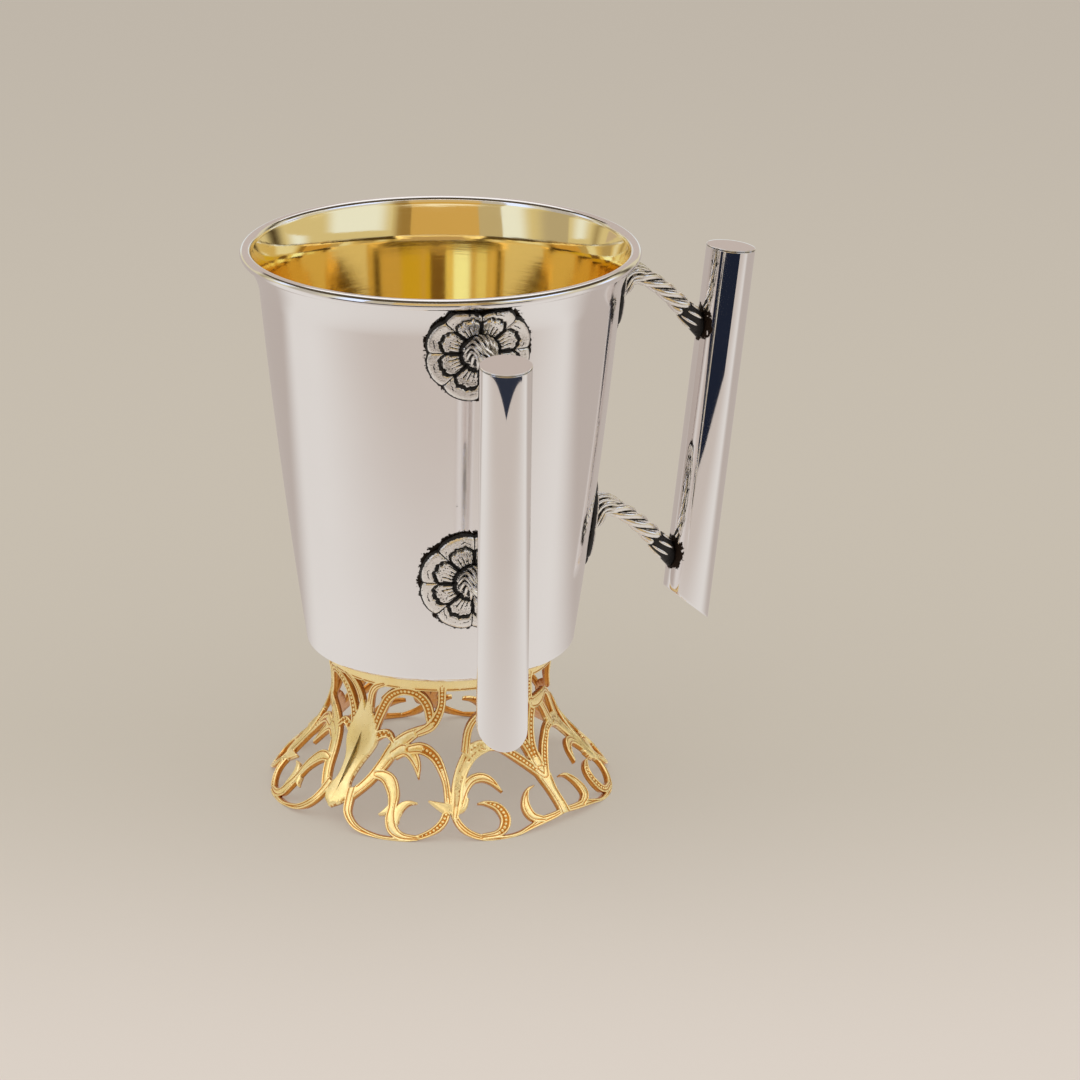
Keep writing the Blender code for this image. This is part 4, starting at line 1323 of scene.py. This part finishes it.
def add_floor():
    """A pale floor with painted light: lighter towards the front, and glowing in part so that
    shadows on it stay faint.
    """
    tree = new_material("pale_floor")
    fixed = {"Specular IOR Level": 0.0, "Roughness": 1.0, "Emission Strength": FLOOR_GLOW}
    tree.feed(tree.shader, fixed)
    point = tree.add("TexCoord", output="Object")
    nearness = tree.vector("DOT_PRODUCT", point, toward_camera(1.0) - CUP_AXIS, output="Value")
    # painted light: the floor's colour brightens towards the camera's side and darkens far behind
    pale, far = tree.fade(nearness, -0.05, 0.20), tree.fade(nearness, -0.15, -1.0)
    colour = tree.mixed(pale, (0.535, 0.487, 0.415), (0.672, 0.610, 0.552))
    colour = tree.mixed(far, colour, (0.485, 0.440, 0.381))
    lit = tree.vector("MULTIPLY", colour, (1.08 - FLOOR_GLOW,) * 3)
    tree.feed(tree.shader, {"Base Color": lit, "Emission Color": colour})
    stage_mesh("floor", square(8.0, 0), [(0, 1, 2, 3)], tree.material)


def glowing(name, colour=(1, 1, 1)):
    """A material that only glows, with its glow as the tree's shader."""
    tree = new_material(name)
    tree.tree.nodes.remove(tree.shader)
    tree.shader = tree.node("Emission", colour)
    tree.feed(tree.out, {"Surface": tree.shader.outputs[0]})
    return tree


def add_card(name, points, tree, faces=None, **values):
    """A glowing card that shows only as a reflection in the metal."""
    faces = faces or [tuple(range(len(points)))]
    card = stage_mesh(name, points, faces, tree.material, **values)
    for way in ("camera", "diffuse", "shadow", "transmission"):
        setattr(card, f"visible_{way}", False)


def add_dark_ring():
    """The floor turns dark past this ring's near edge, which the wall's slope does not reach."""
    turns, lift, far_edge = range(-63, 52, 3), 0.8 * MM, 900 * MM
    near = [toward_camera((366 + 20 * abs(turn) / 75) * MM, turn, lift) for turn in turns]
    far = [toward_camera(far_edge, turn, lift) for turn in turns]
    add_card("dark_ring", [*near, *far[::-1]], glowing("dark_card", (0.012, 0.016, 0.03)))


def add_dark_crescent():
    """A small dark card before the front grip, which only the top of that grip reflects."""
    middle = toward_camera(GRIP_TOP[0] + GRIP_RADIUS, FRONT_GRIP_TURN_DEG, 95 * MM)
    near, far = [], []
    for turn in range(-CRESCENT_SPREAD_DEG, CRESCENT_SPREAD_DEG + 1, 6):
        out = abs(turn) / CRESCENT_SPREAD_DEG
        inner, outer = (42.3, 25.0) if turn < 0 else (33.4, 15.0)  # more of a sweep to the left
        near.append(toward_camera((44.7 + inner * out) * MM, turn, centre=middle))
        far.append(toward_camera((66.0 + outer * out) * MM, turn, centre=middle))
    tree = glowing("dark_crescent", (0.026, 0.031, 0.048))
    length = tree.add("LightPath", output="Ray Length")
    is_far = tree.maths("GREATER_THAN", length, CRESCENT_SEEN_WITHIN)
    clear = tree.add("BsdfTransparent")
    seen = tree.add("MixShader", is_far, tree.shader.outputs[0], clear)
    tree.feed(tree.out, {"Surface": seen})
    add_card("dark_crescent", [*near, *far[::-1]], tree)


def add_floor_bounce():
    """What the metal sees of the floor: tan in front, bright at the sides and taupe behind."""
    tree = glowing("floor_bounce")
    point = tree.add("TexCoord", output="Object")
    front, side = (toward_camera(1.0, turn) - CUP_AXIS for turn in (0, 90))
    ways = (front, front - 0.2 * side)
    nearness, backward = (tree.vector("DOT_PRODUCT", point, w, output="Value") for w in ways)
    near, behind = tree.fade(nearness, 0.0, 0.26), tree.fade(backward, -0.02, -0.12)
    colour = tree.mixed(near, (0.755, 0.725, 0.69), (0.585, 0.52, 0.47))
    colour = tree.mixed(behind, colour, (0.50, 0.44, 0.40))
    tree.feed(tree.shader, {"Color": colour})
    add_card("floor_bounce", square(3.0, 0.4 * MM), tree)


def mirrored(turn_deg, tilt_deg):
    """The way that the camera's view goes on from metal facing this turn and tilt."""
    dip = math.atan2(CAMERA_HEIGHT - CUP_HEIGHT, CAMERA_AWAY)
    turn, tilt = radians(turn_deg), radians(tilt_deg)
    facing = Vector((sin(turn) * cos(tilt), -cos(turn) * cos(tilt), sin(tilt)))
    view = Vector((0, cos(dip), -sin(dip)))
    way = view - 2 * view.dot(facing) * facing
    return Matrix.Rotation(radians(CAMERA_TURN_DEG), 4, "Z") @ way


def strip_faces(count):
    return [(2 * i, 2 * i + 2, 2 * i + 3, 2 * i + 1) for i in range(count)]


def add_dark_arch():
    """A dark arch overhead, which draws a fine dark line along rounded edges such as the rim's."""
    middle = CUP_AXIS + Vector((0, 0, CUP_HEIGHT))
    turns, tilts, away = range(-64, 65, 8), (27, 52), 1.1
    points = [middle + mirrored(turn, tilt) * away for turn in turns for tilt in tilts]
    tree = glowing("dark_arch", DARK_GAP)
    length = tree.add("LightPath", output="Ray Length")
    pale = tree.fade(length, 1.098, 1.106)  # the foot is farther off and sees a bright light
    tree.feed(tree.shader, {"Color": tree.mixed(pale, DARK_GAP, (1.45, 1.38, 1.28))})
    add_card("dark_arch", points, tree, strip_faces(len(points) // 2 - 1))


def panel_light(name, shade, deep):
    """Light of a soft-ended panel; deep is its shade after three bounces in the lining."""
    tree = glowing(name, shade)
    bounces = tree.add("LightPath", output="Glossy Depth")
    colour = tree.mixed(tree.maths("GREATER_THAN", bounces, 2.5), shade, deep)
    tree.feed(tree.shader, {"Color": tree.mixed(tree.attribute("middle"), SIDE_WALL, colour)})
    return tree


def add_panel(name, turns_deg, low, high, shade, deep=None, soft="both", away=0.9):
    """An upright panel that follows a circle round the cup and fades out at its soft ends."""
    count = max(2, round(abs(turns_deg[1] - turns_deg[0]) / 3))
    turns = np.linspace(*turns_deg, count + 1)
    points = [toward_camera(away, turn, height) for turn in turns for height in (low, high)]
    middle = np.ones(count + 1)
    for end, from_end in (("left", turns - turns[0]), ("right", turns[-1] - turns)):
        if soft in (end, "both"):
            middle *= eased(from_end, 0, min(SOFT_END_DEG, (turns[-1] - turns[0]) / 2))
    tree = panel_light(name, shade, deep or shade)
    add_card(name, points, tree, strip_faces(count), middle=np.repeat(middle, 2))


def add_reflections():
    add_floor_bounce()
    add_dark_ring()
    add_dark_crescent()
    add_dark_arch()
    add_panel("side_surround", (-150, 150), 0.04, 0.85, SIDE_WALL, away=1.0)
    add_panel("back_surround", (150, 210), 0.04, 0.85, (0.77, 0.80, 0.78), BACK_DEEP, away=1.0)
    add_panel("warm_wall", (-10, 20), 0.12, 0.80, WARM_WALL, (0.20, 0.15, 0.10), "none")
    add_panel("warm_wall_end", (-26, -10), 0.12, 0.80, WARM_WALL, (0.9, 1.0, 0.9), "none")
    add_panel("dim_wall", (-42, -26), 0.06, 0.80, (0.52, 0.46, 0.34), BRIGHT_DEEP, "none")
    add_panel("left_window", (-64, -42), 0.06, 0.85, WINDOW, BRIGHT_DEEP, "left")
    add_panel("left_wall", (-92, -64), 0.06, 0.85, (0.48, 0.44, 0.37), (0.9, 1.1, 1.3), "right")
    add_panel("left_pale_wall", (-112, -92), 0.30, 0.85, WINDOW, (0.8, 0.8, 0.7))
    add_panel("front_gap", (20, 34), 0.06, 0.80, (0.33, 0.22, 0.08), DEEP_GOLD, "right")
    add_panel("high_window", (32, 84), 0.37, 0.95, WINDOW, DEEP_GOLD)
    add_panel("right_window_edge", (92, 118), 0.08, 0.34, WINDOW, DEEP_GOLD)
    add_panel("right_gap", (116, 140), 0.06, 0.60, DARK_GAP)
    add_panel("left_gap", (-123, -111), 0.06, 0.60, (0.38, 0.32, 0.20), DARK_GAP)
    sweep = (0.55, 0.47, 0.42)
    add_panel("backdrop_sweep", (148, 232), 0.24, 1.20, sweep, BACK_DEEP, "none", away=0.95)


def add_light():
    world = bpy.data.worlds.new("studio")
    bpy.context.scene.world = world
    world.use_nodes = True
    tree = Tree(world.node_tree)
    up = tree.add("SeparateXYZ", tree.add("TexCoord", output="Generated"), output="Z")
    sky = tree.mixed(tree.fade(up, 0.0, 0.9), (0.80, 0.77, 0.74), (1.05, 1.03, 1.0))
    tree.feed(world.node_tree.nodes["Background"], {"Color": sky, "Strength": 1.0})


def main():
    bpy.context.scene.view_settings.view_transform = "Standard"
    bpy.context.scene.cycles.glossy_bounces = 8
    add_camera()
    add_floor()
    add_reflections()
    add_light()
    build_bowl(polished_silver(), gilt_lining())
    build_foot(gilt_casting())
    build_handles(
        grip_silver(), oxidised_silver("rosette_silver", 1100.0, 0.9, 0.6),
        oxidised_silver("arm_silver", 900.0, 0.3, 0.15),
    )


main()
